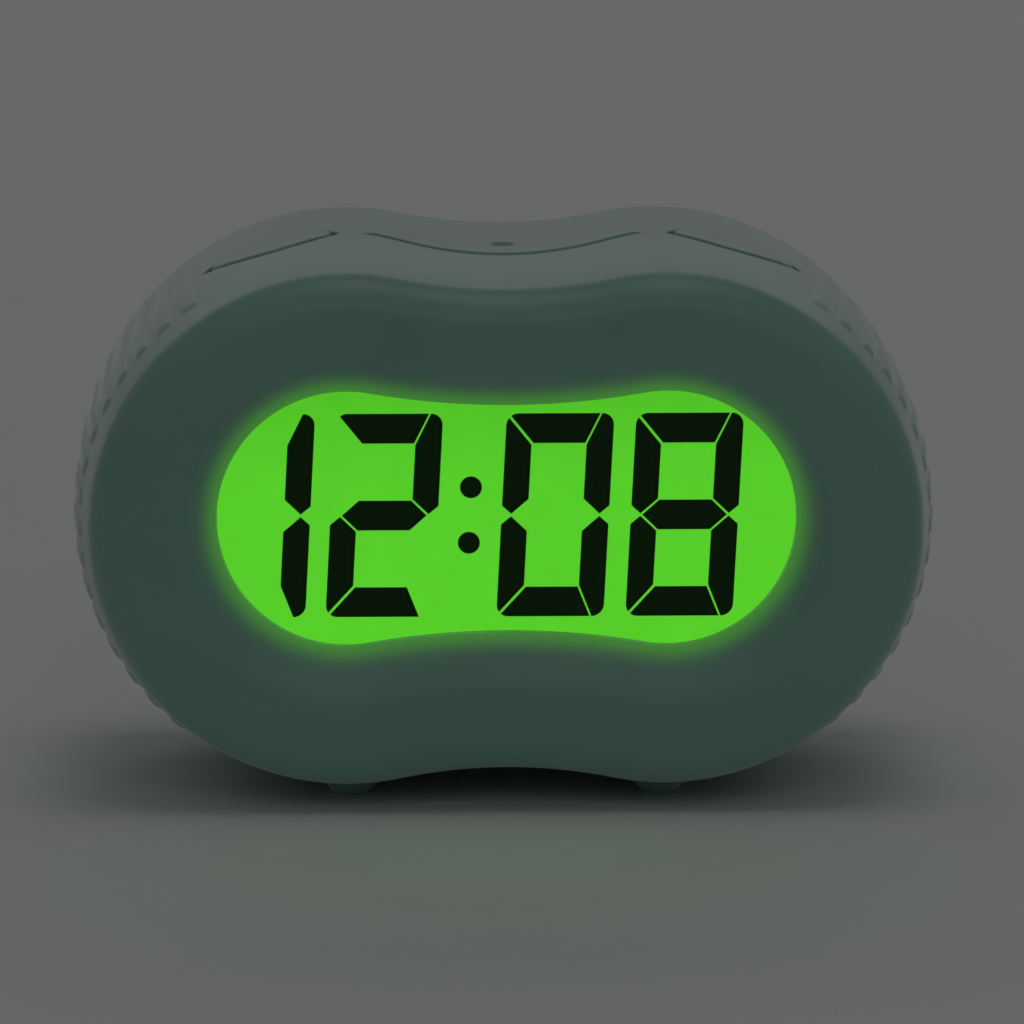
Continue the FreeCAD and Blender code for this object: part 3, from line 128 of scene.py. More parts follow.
# ---- outlines -----------------------------------------------------------------------------
class Peanut:
    """Outline of two round lobes joined above and below by hollow arcs, seen from the front."""

    def __init__(self, lobe_r, lobe_x, waist_r, centre_z):
        self.lobe_r = lobe_r
        self.lobe_x = lobe_x
        self.waist_r = waist_r
        self.centre_z = centre_z
        self.span = lobe_r + waist_r
        self.waist_rise = math.sqrt(self.span ** 2 - lobe_x ** 2)
        self.lean = math.asin(lobe_x / self.span)

    def grown(self, by):
        return Peanut(self.lobe_r + by, self.lobe_x, self.waist_r - by, self.centre_z)

    def height(self, x, inset=0.0):
        """Height of the upper edge at each sideways place, with the outline taken in by the inset."""
        side = np.abs(x)
        lobe_r = self.lobe_r - inset
        join = self.lobe_x * (1 - lobe_r / self.span)
        lobe = np.sqrt(np.maximum(lobe_r ** 2 - (side - self.lobe_x) ** 2, 0))
        waist = self.waist_rise - np.sqrt((self.waist_r + inset) ** 2 - np.minimum(side, join) ** 2)
        return self.centre_z + np.where(side < join, waist, lobe)

    def outward(self, points):
        """Signed distance outside the outline, and the direction away from it."""
        side = np.abs(points[:, 0])
        rise = np.abs(points[:, 1] - self.centre_z)
        lobe = np.stack([side - self.lobe_x, rise], axis=1)
        waist = np.stack([-side, self.waist_rise - rise], axis=1)
        lobe_far = np.linalg.norm(lobe, axis=1)
        waist_far = np.linalg.norm(waist, axis=1)
        hollow = np.arctan2(side, self.waist_rise - rise) < self.lean
        distance = np.where(hollow, self.waist_r - waist_far, lobe_far - self.lobe_r)
        way = np.where(hollow[:, None], waist / waist_far[:, None], lobe / lobe_far[:, None])
        signs = np.stack([np.sign(points[:, 0]), np.sign(points[:, 1] - self.centre_z)], axis=1)
        signs[signs == 0] = 1
        return distance, way * signs


OUTER = Peanut(LOBE_R, LOBE_X, WAIST_R, CENTRE_Z)
WINDOW = Peanut(WINDOW_R, WINDOW_LOBE_X, WINDOW_WAIST_R, WINDOW_Z)


def inside(radius):
    return OUTER.grown(radius - LOBE_R)


class Leaf:
    """A key's shape from above: two parabolas that meet at each end."""

    def __init__(self, x, half_l, half_w):
        self.x = x
        self.half_l = half_l
        self.half_w = half_w

    def size(self, grow):
        tip = math.atan2(2 * self.half_w, self.half_l)
        return self.half_l + grow / math.sin(tip), self.half_w + grow

    def pointed(self, reach, side, grow):
        """Points on the edge: reach runs from -1 to 1 between the tips, side is -1 or 1."""
        half_l, half_w = self.size(grow)
        return np.stack([self.x + half_l * reach, KEY_MID_Y + side * half_w * (1 - reach ** 2)], axis=1)

    def blunt(self, turn, grow):
        """Points round the edge with rounded tips, by angle."""
        half_l, half_w = self.size(grow)
        end = half_l - TIP_CUT
        x = end * np.cos(turn)
        into_tip = np.clip((np.abs(x) - (end - TIP_ROUND)) / TIP_ROUND, 0, 1)
        width = half_w * (1 - (x / half_l) ** 2) * np.sqrt(1 - into_tip ** 2)
        return np.stack([self.x + x, KEY_MID_Y + np.sign(np.sin(turn)) * width], axis=1)


LEAVES = {
    "snooze": Leaf(*SNOOZE_LEAF),
    "left": Leaf(-SIDE_KEY_X, *SIDE_LEAF),
    "right": Leaf(SIDE_KEY_X, *SIDE_LEAF),
}


# ---- mesh helpers -------------------------------------------------------------------------
def smoothstep(value):
    value = np.clip(value, 0, 1)
    return value * value * (3 - 2 * value)


def new_piece(name, points, faces, material, body, node=None):
    mesh = bpy.data.meshes.new(name)
    mesh.from_pydata((np.asarray(points) * MM).tolist(), [], faces)
    mesh.validate()
    shell = bmesh.new()
    shell.from_mesh(mesh)
    bmesh.ops.recalc_face_normals(shell, faces=shell.faces)
    shell.to_mesh(mesh)
    shell.free()
    mesh.shade_smooth()
    piece = bpy.data.objects.new(name, mesh)
    bpy.context.scene.collection.objects.link(piece)
    mesh.materials.append(material)
    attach(piece, body)
    if node:
        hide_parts(*([node] if isinstance(node, str) else node))
    return piece


def strip(first, second):
    """Quads between two closed rings of vertex numbers."""
    count = len(first)
    return [(first[k], first[(k + 1) % count], second[(k + 1) % count], second[k]) for k in range(count)]


class Rings:
    """A closed skin laid over a stack of rings with the same number of points."""

    def __init__(self):
        self.points = []
        self.faces = []

    def add(self, rings, start=None, end=None, loop=False):
        numbers = []
        for ring in rings:
            first = len(self.points)
            self.points.extend(np.asarray(ring).tolist())
            numbers.append(list(range(first, first + len(ring))))
        for above, below in zip(numbers, numbers[1:]):
            self.faces.extend(strip(above, below))
        if loop:
            self.faces.extend(strip(numbers[-1], numbers[0]))
        for place, ring in ((start, numbers[0]), (end, numbers[-1])):
            if place is not None:
                self.fan(place, ring, place is start)

    def fan(self, place, ring, turned):
        tip = len(self.points)
        self.points.append(list(place))
        for k in range(len(ring)):
            pair = (ring[(k + 1) % len(ring)], ring[k])
            self.faces.append((tip,) + (pair if turned else pair[::-1]))


def lathe(profile, centre, axis, count=48):
    """Rings for a radius-and-height profile turned about an axis through centre."""
    turn = np.arange(count) * 2 * math.pi / count
    rings = []
    for radius, height in profile:
        a = radius * np.cos(turn)
        b = radius * np.sin(turn)
        h = np.full(count, float(height))
        if axis == "z":
            ring = np.stack([a, b, h], axis=1)
        else:
            ring = np.stack([b, h, a], axis=1)
        rings.append(ring + np.array(centre))
    return rings


# ---- materials ----------------------------------------------------------------------------
class Shader:
    """A Principled material built up one surface effect at a time."""

    def __init__(self, name, colour, roughness, metallic=0.0, specular=0.5):
        self.material = bpy.data.materials.new(name)
        self.material.use_nodes = True
        self.tree = self.material.node_tree
        self.surface = self.tree.nodes["Principled BSDF"]
        self.set("Base Color", (*colour, 1))
        self.set("Roughness", roughness)
        self.set("Metallic", metallic)
        self.set("Specular IOR Level", specular)
        self.place = self.tree.nodes.new("ShaderNodeTexCoord").outputs["Object"]
        self.bump = None

    def set(self, socket, value):
        self.surface.inputs[socket].default_value = value
        return self

    def node(self, kind, **settings):
        made = self.tree.nodes.new("ShaderNode" + kind)
        for key, value in settings.items():
            setattr(made, key, value)
        return made

    def link(self, output, target):
        self.tree.links.new(output, target)

    def noise(self, scale, detail=2.0, rough=0.5):
        made = self.node("TexNoise")
        made.inputs["Scale"].default_value = scale
        made.inputs["Detail"].default_value = detail
        made.inputs["Roughness"].default_value = rough
        self.link(self.place, made.inputs["Vector"])
        return made.outputs["Fac"]

    def ramp(self, factor, stops):
        made = self.node("ValToRGB")
        ramp = made.color_ramp
        while len(ramp.elements) < len(stops):
            ramp.elements.new(0.5)
        for element, (position, colour) in zip(ramp.elements, stops):
            element.position = position
            element.color = (*colour, 1)
        self.link(factor, made.inputs["Fac"])
        return made.outputs["Color"]

    def span(self, factor, low, high):
        made = self.node("MapRange")
        made.inputs["To Min"].default_value = low
        made.inputs["To Max"].default_value = high
        self.link(factor, made.inputs["Value"])
        return made.outputs["Result"]

    def mottle(self, scale, darker, lighter, detail=3.0):
        """Slow change of colour over the surface."""
        colours = self.ramp(self.noise(scale, detail), [(0.3, darker), (0.7, lighter)])
        self.link(colours, self.surface.inputs["Base Color"])
        return self

    def uneven_gloss(self, scale, low, high, detail=3.0):
        self.link(self.span(self.noise(scale, detail), low, high), self.surface.inputs["Roughness"])
        return self

    def grain(self, scale, depth, strength=1.0, detail=2.0):
        """Fine raised texture; depth is in metres."""
        made = self.node("Bump")
        made.inputs["Strength"].default_value = strength
        made.inputs["Distance"].default_value = depth
        self.link(self.noise(scale, detail), made.inputs["Height"])
        if self.bump:
            self.link(self.bump, made.inputs["Normal"])
        self.bump = made.outputs["Normal"]
        self.link(self.bump, self.surface.inputs["Normal"])
        return self


def tint(colour, factor):
    return tuple(min(1.0, c * factor) for c in colour)


JACKET_GREEN = (0.243, 0.462, 0.378)
KEY_GREEN = (0.232, 0.420, 0.372)
# Painted light: the display's light round the window is painted into the jacket as a greener base colour and
# an emission colour.
PAINTED_LIT_GREEN = (0.14, 0.45, 0.10)        # silicone with the display's light inside it
PAINTED_GLOW_GREEN = (0.031, 0.144, 0.0185)
LCD_GREEN = (0.094, 0.620, 0.021)
INK_LEAK = (0.0008, 0.0050, 0.0003)   # the little backlight that passes a dark segment


def silicone(name, colour):
    made = Shader(name, colour, 0.39, specular=0.5)
    made.mottle(60, tint(colour, 0.97), tint(colour, 1.03))
    made.uneven_gloss(220, 0.36, 0.42)
    made.grain(2600, 0.000012, 0.6)
    made.set("Sheen Weight", 0.85)
    made.set("Sheen Roughness", 0.40)
    made.set("Subsurface Weight", 0.25)
    made.set("Subsurface Radius", (0.6, 1.0, 0.8))
    made.set("Subsurface Scale", 0.0012)
    return made


def jacket_material():
    """Silicone with a painted glow of the display's light round the window: emission and a greener base
    colour, weighted by distance from the window.
    """
    made = silicone("jacket_silicone", JACKET_GREEN)
    # Painted light: emission colour from the painted glow weight, standing in for display light inside the
    # silicone.
    painted_glow = made.node("Attribute", attribute_name="painted_window_glow").outputs["Fac"]
    made.link(made.ramp(painted_glow, [(0.0, (0, 0, 0)), (1.0, PAINTED_GLOW_GREEN)]), made.surface.inputs["Emission Color"])
    made.set("Emission Strength", 1.0)
    # Painted light: the base colour turns greener where the display's glow is painted, as if lit from
    # inside.
    base = made.surface.inputs["Base Color"]
    mix = made.node("Mix", data_type="RGBA")
    made.link(painted_glow, mix.inputs["Factor"])
    made.link(base.links[0].from_socket, mix.inputs["A"])
    mix.inputs["B"].default_value = (*PAINTED_LIT_GREEN, 1)
    made.link(mix.outputs["Result"], base)
    return made.material


def key_material():
    return silicone("key_silicone", KEY_GREEN).material


def plastic(name, colour, roughness, grain_depth=0.00001):
    made = Shader(name, colour, roughness)
    made.mottle(45, tint(colour, 0.96), tint(colour, 1.04))
    made.uneven_gloss(160, roughness - 0.05, roughness + 0.06)
    made.grain(1900, grain_depth)
    return made.material


def metal(name, colour, roughness, stretch=900):
    made = Shader(name, colour, roughness, metallic=1.0)
    made.mottle(300, tint(colour, 0.85), colour)
    made.uneven_gloss(stretch, roughness - 0.08, roughness + 0.12)
    made.grain(stretch * 2, 0.000004)
    return made.material


def clear_plastic():
    made = Shader("clear_window", (1, 1, 1), 0.03, specular=0.12)
    made.set("Transmission Weight", 1.0)
    made.set("IOR", 1.15)
    made.uneven_gloss(30, 0.02, 0.05)
    return made.material


def lcd_glow():
    """Evenly backlit panel: faint mottling, and a little dimmer towards the upper edge."""
    made = Shader("lcd_backlit", (0.02, 0.06, 0.02), 0.35, specular=0.1)
    split = made.node("SeparateXYZ")
    made.link(made.place, split.inputs["Vector"])
    rise = made.node("MapRange")
    rise.inputs["From Min"].default_value = panel_low[2] * MM
    rise.inputs["From Max"].default_value = panel_high[2] * MM
    made.link(split.outputs["Z"], rise.inputs["Value"])
    shade = made.ramp(rise.outputs["Result"], [
        (0.0, tint(LCD_GREEN, 1.02)),
        (0.65, LCD_GREEN),
        (0.9, tint(LCD_GREEN, 0.90)),
        (1.0, tint(LCD_GREEN, 0.84)),
    ])
    cloud = made.ramp(made.noise(160, 4.0, 0.6), [(0.25, (0.94, 0.94, 0.90)), (0.75, (1, 1, 1))])
    mix = made.node("Mix", data_type="RGBA", blend_type="MULTIPLY")
    mix.inputs["Factor"].default_value = 1.0
    made.link(shade, mix.inputs["A"])
    made.link(cloud, mix.inputs["B"])
    made.link(mix.outputs["Result"], made.surface.inputs["Emission Color"])
    made.set("Emission Strength", 1.0)
    made.grain(1500, 0.000005)
    return made.material


def ink():
    made = Shader("lcd_ink", (0.003, 0.006, 0.004), 0.35, specular=0.05)
    made.mottle(700, (0.0025, 0.005, 0.003), (0.004, 0.008, 0.005))
    made.set("Emission Color", (*INK_LEAK, 1))
    made.set("Emission Strength", 1.0)
    made.uneven_gloss(400, 0.3, 0.42)
    made.grain(1800, 0.000004)
    return made.material


def circuit_board():
    green = (0.015, 0.11, 0.045)
    made = Shader("circuit_board", green, 0.3)
    weave = made.node("TexWave", wave_type="BANDS")
    weave.inputs["Scale"].default_value = 350
    weave.inputs["Distortion"].default_value = 1.5
    made.link(made.place, weave.inputs["Vector"])
    colours = made.ramp(weave.outputs["Fac"], [(0.2, tint(green, 0.85)), (0.8, tint(green, 1.2))])
    made.link(colours, made.surface.inputs["Base Color"])
    made.uneven_gloss(200, 0.25, 0.38)
    made.grain(1300, 0.00001)
    return made.material


PALE_GREEN = tint(JACKET_GREEN, 0.95)
OFF_WHITE = (0.72, 0.73, 0.70)


# ---- soft jacket --------------------------------------------------------------------------
def half_outline():
    """Stations from the bottom middle round the right lobe to the top middle.

    Each is an anchor and an outward direction, so that anchor + direction * radius lies on the
    outline of that lobe radius. The third array is the angle round the lobe, or NaN on the waist.
    """
    lean = math.degrees(OUTER.lean)
    rib_low = RIB_FIRST - (RIB_COUNT - 1) * RIB_PITCH - RIB_PITCH / 2
    rib_high = RIB_FIRST + 2.5
    angles = np.concatenate([
        np.linspace(-90 - lean, rib_low, 42)[:-1],
        np.linspace(rib_low, rib_high, 226)[:-1],
        np.linspace(rib_high, 90 + lean, 74),
    ])
    turn = np.radians(angles)
    lobe_way = np.stack([np.cos(turn), np.sin(turn)], axis=1)
    lobe_anchor = np.tile([LOBE_X, 0.0], (len(turn), 1))
    swing = np.linspace(0, OUTER.lean, 34)[:-1]
    ways = []
    anchors = []
    for up in (-1, 1):
        way = np.stack([np.sin(swing), -up * np.cos(swing)], axis=1)
        middle = np.array([0.0, up * OUTER.waist_rise])
        anchor = middle + way * OUTER.span
        ways.append(-way)
        anchors.append(anchor)
    way = np.concatenate([ways[0], lobe_way, ways[1][::-1]])
    anchor = np.concatenate([anchors[0], lobe_anchor, anchors[1][::-1]])
    angle = np.concatenate([np.full(len(swing), np.nan), angles, np.full(len(swing), np.nan)])
    return anchor, way, angle


def full_outline():
    anchor, way, angle = half_outline()
    mirror = np.array([-1.0, 1.0])
    anchor = np.concatenate([anchor, (anchor * mirror)[-2:0:-1]])
    way = np.concatenate([way, (way * mirror)[-2:0:-1]])
    angle = np.concatenate([angle, angle[-2:0:-1]])
    anchor[:, 1] += CENTRE_Z
    return anchor, way, angle


def arc_points(centre, radius, start, end, count):
    turn = np.radians(np.linspace(start, end, count))
    return [(centre[0] + radius * math.cos(t), centre[1] + radius * math.sin(t)) for t in turn]


def dish_depth(radius):
    """Depth of the face between the window and the crest: a rounded edge and then a straight slope."""
    across = CREST_R - radius
    bend = DISH_R * math.sin(DISH_SLOPE)
    curved = DISH_R - np.sqrt(DISH_R ** 2 - np.minimum(across, bend) ** 2)
    return -HALF_DEPTH + curved + np.maximum(across - bend, 0) * math.tan(DISH_SLOPE)


def taper_inset(depth):
    """How far the gentle taper towards the face has drawn the side in at a depth."""
    return TAPER_R - np.sqrt(TAPER_R ** 2 - np.minimum(depth - TAPER_START, 0) ** 2)


def outer_profile():
    """Radius and depth from just outside the crest to the rim of the rear opening."""
    corner = (LOBE_R - TAPER_R + (TAPER_R - CORNER_R) * math.cos(math.radians(TAPER_TURN)),
              CORNER_R - HALF_DEPTH)
    taper = (LOBE_R - TAPER_R, TAPER_START)
    rear = (LOBE_R - REAR_ROUND, HALF_DEPTH - REAR_ROUND)
    block_front_y = KEY_MID_Y - KEY_BLOCK
    block_back_y = KEY_MID_Y + KEY_BLOCK
    points = [(radius, -HALF_DEPTH) for radius in np.linspace(CREST_R, corner[0], 10)[1:]]
    points += arc_points(corner, CORNER_R, -90, -TAPER_TURN, 24)[1:]
    rib_front_rows = np.linspace(RIB_FRONT - RIB_SPARE, RIB_FRONT + RIB_END + RIB_SPARE, 9)
    rib_back_rows = np.linspace(RIB_BACK - RIB_END - RIB_SPARE, RIB_BACK + RIB_SPARE, 9)
    depths = np.concatenate([
        np.linspace(points[-1][1], rib_front_rows[0], 4)[1:-1],
        rib_front_rows,
        np.linspace(rib_front_rows[-1], block_front_y, 8)[1:],
    ])
    points += [(taper[0] + math.sqrt(TAPER_R ** 2 - (y - taper[1]) ** 2), y) for y in depths]
    block_front = len(points) - 1
    points += [(LOBE_R - taper_inset(y), y) for y in np.linspace(block_front_y, block_back_y, 11)[1:]]
    block_back = len(points) - 1
    points += [(LOBE_R, y) for y in np.linspace(block_back_y, rib_back_rows[0], 7)[1:]]
    points += [(LOBE_R, y) for y in rib_back_rows[1:]]
    points += [(LOBE_R, y) for y in np.linspace(rib_back_rows[-1], rear[1], 4)[1:]]
    points += arc_points(rear, REAR_ROUND, 0, 90, 10)[1:]
    lip = (REAR_OPENING_R + REAR_EDGE, HALF_DEPTH - REAR_EDGE)
    points += arc_points(lip, REAR_EDGE, 90, 180, 5)
    points += [(REAR_OPENING_R, HALF_DEPTH - REAR_LIP)]
    return np.array(points), block_front, block_back


def inner_profile(front_y, back_y):
    """Radius and depth of the jacket's inside, from the rear lip to the corner behind the face."""
    side = CASE_R + FIT
    points = [(side, HALF_DEPTH - REAR_LIP), (side, POCKET_BACK)]
    first = len(points)
    points += [(side, y) for y in np.linspace(back_y, front_y, 11)]
    last = len(points) - 1
    corner = (side - CASE_ROUND, INNER_FRONT + CASE_ROUND)
    points += arc_points(corner, CASE_ROUND, 0, -90, 6)
    return np.array(points), first, last


def rib_height(angle, depth):
    """Height of the grip ribs at an angle round a lobe and a depth."""
    ribs = RIB_FIRST - RIB_PITCH * np.arange(RIB_COUNT)
    away = np.abs(np.nan_to_num(angle, nan=180.0)[:, None] - ribs[None, :]).min(axis=1)
    across = np.radians(away) * LOBE_R
    ridge = smoothstep((RIB_W / 2 + RIB_EDGE / 2 - across) / RIB_EDGE)
    along = smoothstep((depth - RIB_FRONT) / RIB_END) * smoothstep((RIB_BACK - depth) / RIB_END)
    return RIB_H * ridge[:, None] * along[None, :]


def window_radius(anchor, way):
    """Lobe radius at which each station's line reaches the rounded edge of the window."""
    low = np.full(len(anchor), 6.0)
    high = np.full(len(anchor), CREST_R)
    edge = WINDOW.grown(WINDOW_LIP)
    for _ in range(40):
        middle = (low + high) / 2
        outside = edge.outward(anchor + way * middle[:, None])[0] > 0
        high = np.where(outside, middle, high)
        low = np.where(outside, low, middle)
    return (low + high) / 2


def plane_to_space(flat, depth):
    return np.stack([flat[:, 0], np.broadcast_to(depth, len(flat)), flat[:, 1]], axis=1)


def jacket_columns():
    """Every ring of the jacket, each with one point per station, and the rows of the key blocks."""
    anchor, way, angle = full_outline()
    edge_r = window_radius(anchor, way)
    edge = anchor + way * edge_r[:, None]
    _, away = WINDOW.outward(edge)
    edge_y = dish_depth(edge_r)
    rings = []
    for turn in np.radians(np.linspace(90, 0, 6)):
        flat = edge - away * WINDOW_LIP * math.sin(turn)
        rings.append(plane_to_space(flat, edge_y + WINDOW_LIP * (1 - math.cos(turn))))
    for share in np.linspace(0, 1, 20)[1:]:
        radius = edge_r + (CREST_R - edge_r) * share
        rings.append(plane_to_space(anchor + way * radius[:, None], dish_depth(radius)))
    outer, block_front, block_back = outer_profile()
    slope = np.gradient(outer, axis=0)
    normal = np.stack([-slope[:, 1], slope[:, 0]], axis=1)
    normal /= -np.linalg.norm(normal, axis=1)[:, None]
    ribs = rib_height(angle, outer[:, 1])
    start = len(rings)
    for k, (radius, depth) in enumerate(outer):
        reach = radius + ribs[:, k] * normal[k, 0]
        rings.append(plane_to_space(anchor + way * reach[:, None], depth + ribs[:, k] * normal[k, 1]))
    outer_rows = (start + block_front, start + block_back)
    front_y, back_y = outer[block_front, 1], outer[block_back, 1]
    inner, first, last = inner_profile(front_y, back_y)
    start = len(rings)
    for radius, depth in inner:
        rings.append(plane_to_space(anchor + way * radius, depth))
    inner_rows = (start + first, start + last)
    rim = edge - away * WINDOW_LIP
    inner_edge = anchor + way * (CASE_R + FIT - CASE_ROUND)
    for share in (0.5, 1.0):
        rings.append(plane_to_space(inner_edge + (rim - inner_edge) * share, INNER_FRONT))
    return rings, outer_rows, inner_rows


def block_loop(columns, rows, count):
    """Vertex numbers round a rectangle of the jacket's grid, front edge first."""
    left, right = columns
    front, back = rows
    step = 1 if back > front else -1
    across = list(range(left, right + 1))
    down = list(range(front, back + step, step))
    loop = [front * count + c for c in across]
    loop += [r * count + right for r in down[1:]]
    loop += [back * count + c for c in across[::-1][1:]]
    loop += [r * count + left for r in down[::-1][1:-1]]
    return loop


TIP_SHARE = 0.03          # part of a leaf's half length that a block's short edge takes up


def loop_targets(leaf, points, columns_x, rows_y, grow):
    """Where each point of a block's edge goes on the key's opening."""
    left_x, right_x = columns_x
    front_y, back_y = rows_y
    x, y = points[:, 0], points[:, 1]
    half = np.where(x < leaf.x, leaf.x - left_x, right_x - leaf.x)
    reach = (x - leaf.x) / half * (1 - TIP_SHARE)
    lift = (y - KEY_MID_Y) / ((back_y - front_y) / 2)
    on_end = (np.abs(x - left_x) < 1e-6) | (np.abs(x - right_x) < 1e-6)
    reach = np.where(on_end, np.sign(x - leaf.x) * (1 - TIP_SHARE * np.abs(lift)), reach)
    side = np.where(y < KEY_MID_Y, -1.0, 1.0)
    return leaf.pointed(reach, side, grow)


def on_surface(flat, outline, drop=0.0):
    height = outline.height(flat[:, 0], taper_inset(flat[:, 1]))
    return np.stack([flat[:, 0], flat[:, 1], height - drop], axis=1)


FOOT_PLACES = [(-18.8, -12.5), (18.8, -12.5), (-18.8, 14.0), (18.8, 14.0)]
FOOT_FLAT_R = 1.85
FOOT_EDGE = 0.35
FOOT_ROOT = 2.6           # the foot's top, sunk in the jacket
# Painted glow: how far the display's light is painted out from the window, and the depth behind which none
# is painted.
PAINTED_GLOW_REACH = 1.55
PAINTED_GLOW_BACK = -18           # only the face in front of this depth is lit


def foot_rings(x, y):
    """A small round foot with a flat tip, flared where it meets the jacket."""
    profile = [(0.9, 0.0)] + arc_points((FOOT_FLAT_R, FOOT_EDGE), FOOT_EDGE, -90, -20, 6)
    profile += [(2.55, 0.72), (2.78, 0.96), (3.05, 1.14), (3.45, 1.32), (3.45, FOOT_ROOT)]
    return lathe(profile, (x, y, 0), "z", 40)


def painted_window_glow(points):
    """How strongly the painted glow of the display's light shows in the silicone at each point of the face.
    """
    distance, _ = WINDOW.outward(points[:, [0, 2]])
    fade = np.exp(-(np.maximum(distance, 0) / PAINTED_GLOW_REACH) ** 2)
    return np.where(points[:, 1] < PAINTED_GLOW_BACK, fade, 0)


BLOCK_SPANS = {"snooze": (-18.6, 18.6), "left": (-37.25, -18.95), "right": (18.95, 37.25)}


def silicone_jacket():
    rings, outer_rows, inner_rows = jacket_columns()
    count = len(rings[0])
    points = np.concatenate(rings)
    blocks = {}
    outer_x = rings[outer_rows[0]][:, 0]
    upper = rings[outer_rows[0]][:, 2] > CENTRE_Z
    removed = set()
    for key, (low, high) in BLOCK_SPANS.items():
        found = np.where(upper & (outer_x > low) & (outer_x < high))[0]
        columns = (int(found.min()), int(found.max()))
        blocks[key] = columns
        for row in range(outer_rows[0], outer_rows[1]):
            removed.update((row, c) for c in range(*columns))
        for row in range(inner_rows[0], inner_rows[1]):
            removed.update((row, c) for c in range(*columns))
    faces = []
    total = len(rings)
    for row in range(total):
        below = (row + 1) % total
        for c in range(count):
            if (row, c) not in removed:
                d = (c + 1) % count
                faces.append((row * count + c, row * count + d, below * count + d, below * count + c))
    points = points.tolist()
    for key, columns in blocks.items():
        leaf = LEAVES[key]
        outer_loop = block_loop(columns, outer_rows, count)
        inner_loop = block_loop(columns, inner_rows[::-1], count)
        flat = np.array([points[i][:2] for i in outer_loop])
        ends = (flat[:, 0].min(), flat[:, 0].max())
        depths = (flat[:, 1].min(), flat[:, 1].max())
        top = leaf_loop(leaf, flat, ends, depths)
        numbers = [outer_loop]
        for ring in top:
            first = len(points)
            points.extend(ring.tolist())
            numbers.append(list(range(first, first + len(ring))))
        numbers.append(inner_loop)
        for above, below in zip(numbers, numbers[1:]):
            faces.extend(q[::-1] for q in strip(above, below))
    skin = Rings()
    skin.points = points
    skin.faces = faces
    for x, y in FOOT_PLACES:
        skin.add(foot_rings(x, y), start=(x, y, 0.0), end=(x, y, FOOT_ROOT))
    piece = new_piece("silicone_jacket_skin", skin.points, skin.faces, jacket_material(),
                      "clock_body", "silicone_jacket")
    # Painted glow weight at each point, read by the jacket material for its emission and its greener base
    # colour.
    painted_glow = piece.data.attributes.new("painted_window_glow", "FLOAT", "POINT")
    painted_glow.data.foreach_set("value", painted_window_glow(np.array(skin.points)).astype(np.float32))
    return piece


def leaf_loop(leaf, flat, ends, depths):
    """Rings from a block's edge in to a key opening, round its edge and down to the case."""
    rings = []
    edge = loop_targets(leaf, flat, ends, depths, RUN + KEY_EDGE)
    for share in (0.3, 0.55, 0.75, 0.88, 0.96, 1.0):
        rings.append(on_surface(flat + (edge - flat) * share, OUTER))
    for turn in np.radians(np.linspace(0, 90, 6))[1:]:
        ring = loop_targets(leaf, flat, ends, depths, RUN + KEY_EDGE * (1 - math.sin(turn)))
        rings.append(on_surface(ring, OUTER, KEY_EDGE * (1 - math.cos(turn))))
    rings.append(on_surface(ring, OUTER, 1.2))
    rings.append(on_surface(ring, inside(CASE_R + FIT)))
    return rings


# ---- top keys -----------------------------------------------------------------------------
KEY_POINTS = 176
PLUNGER_TOP = CENTRE_Z + 24.3  # where the keys' stems rest on the switches


def key_rings(leaf, hole):
    """Rings over the top of a key, down its side, round its flange and back up inside."""
    turn = (np.arange(KEY_POINTS) + 0.5) * 2 * math.pi / KEY_POINTS
    edge = leaf.blunt(turn, -KEY_RIM)
    middle = np.array([leaf.x, SENSOR_Y if hole else KEY_MID_Y])
    aim = edge - middle
    aim = aim / np.linalg.norm(aim, axis=1)[:, None]
    top = inside(LOBE_R + KEY_PROUD)
    rings = []
    start = middle + aim * 0.05
    if hole:
        peak = float(top.height(np.array([0.0]))[0])
        rings.append(on_surface(middle + aim * SENSOR_HOLE_R, inside(LOBE_R + KEY_PROUD - KEY_SKIN)))
        bowl = [(SENSOR_HOLE_R, 1.2), (SENSOR_HOLE_R, 0.74), (0.96, 0.66), (1.3, 0.40), (1.66, 0.13)]
        bowl += [(1.85, 0.04), (2.1, 0.0)]
        for radius, drop in bowl:
            ring = middle + aim * radius
            level = np.full(len(ring), peak - drop)
            if drop < 0.1:
                level = top.height(ring[:, 0]) - drop
            rings.append(np.column_stack([ring, level]))
        start = ring
    for share in np.linspace(0, 1, 16)[1:]:
        flat = start + (edge - start) * share
        rings.append(on_surface(flat, top, KEY_SAG * share ** 6))
    for lean in np.radians(np.linspace(0, 90, 6))[1:]:
        flat = leaf.blunt(turn, -KEY_RIM * (1 - math.sin(lean)))
        rings.append(on_surface(flat, top, KEY_SAG + KEY_RIM * (1 - math.cos(lean))))
    side = leaf.blunt(turn, 0)
    flange = leaf.blunt(turn, FLANGE_REACH)
    hollow = leaf.blunt(turn, -KEY_WALL)
    flange_top = inside(INNER_R - ROOF_GAP)
    flange_foot = inside(INNER_R - ROOF_GAP - FLANGE_T)
    rings.append(on_surface(side, OUTER, 1.6))
    rings.append(on_surface(side, flange_top))
    rings.append(on_surface(flange, flange_top))
    rings.append(on_surface(flange, flange_foot))
    rings.append(on_surface(hollow, flange_foot))
    skin = inside(LOBE_R + KEY_PROUD - KEY_SKIN)
    rings.append(on_surface(hollow, skin))
    rings.append(on_surface(middle + (hollow - middle) * 0.5, skin))
    return rings, middle


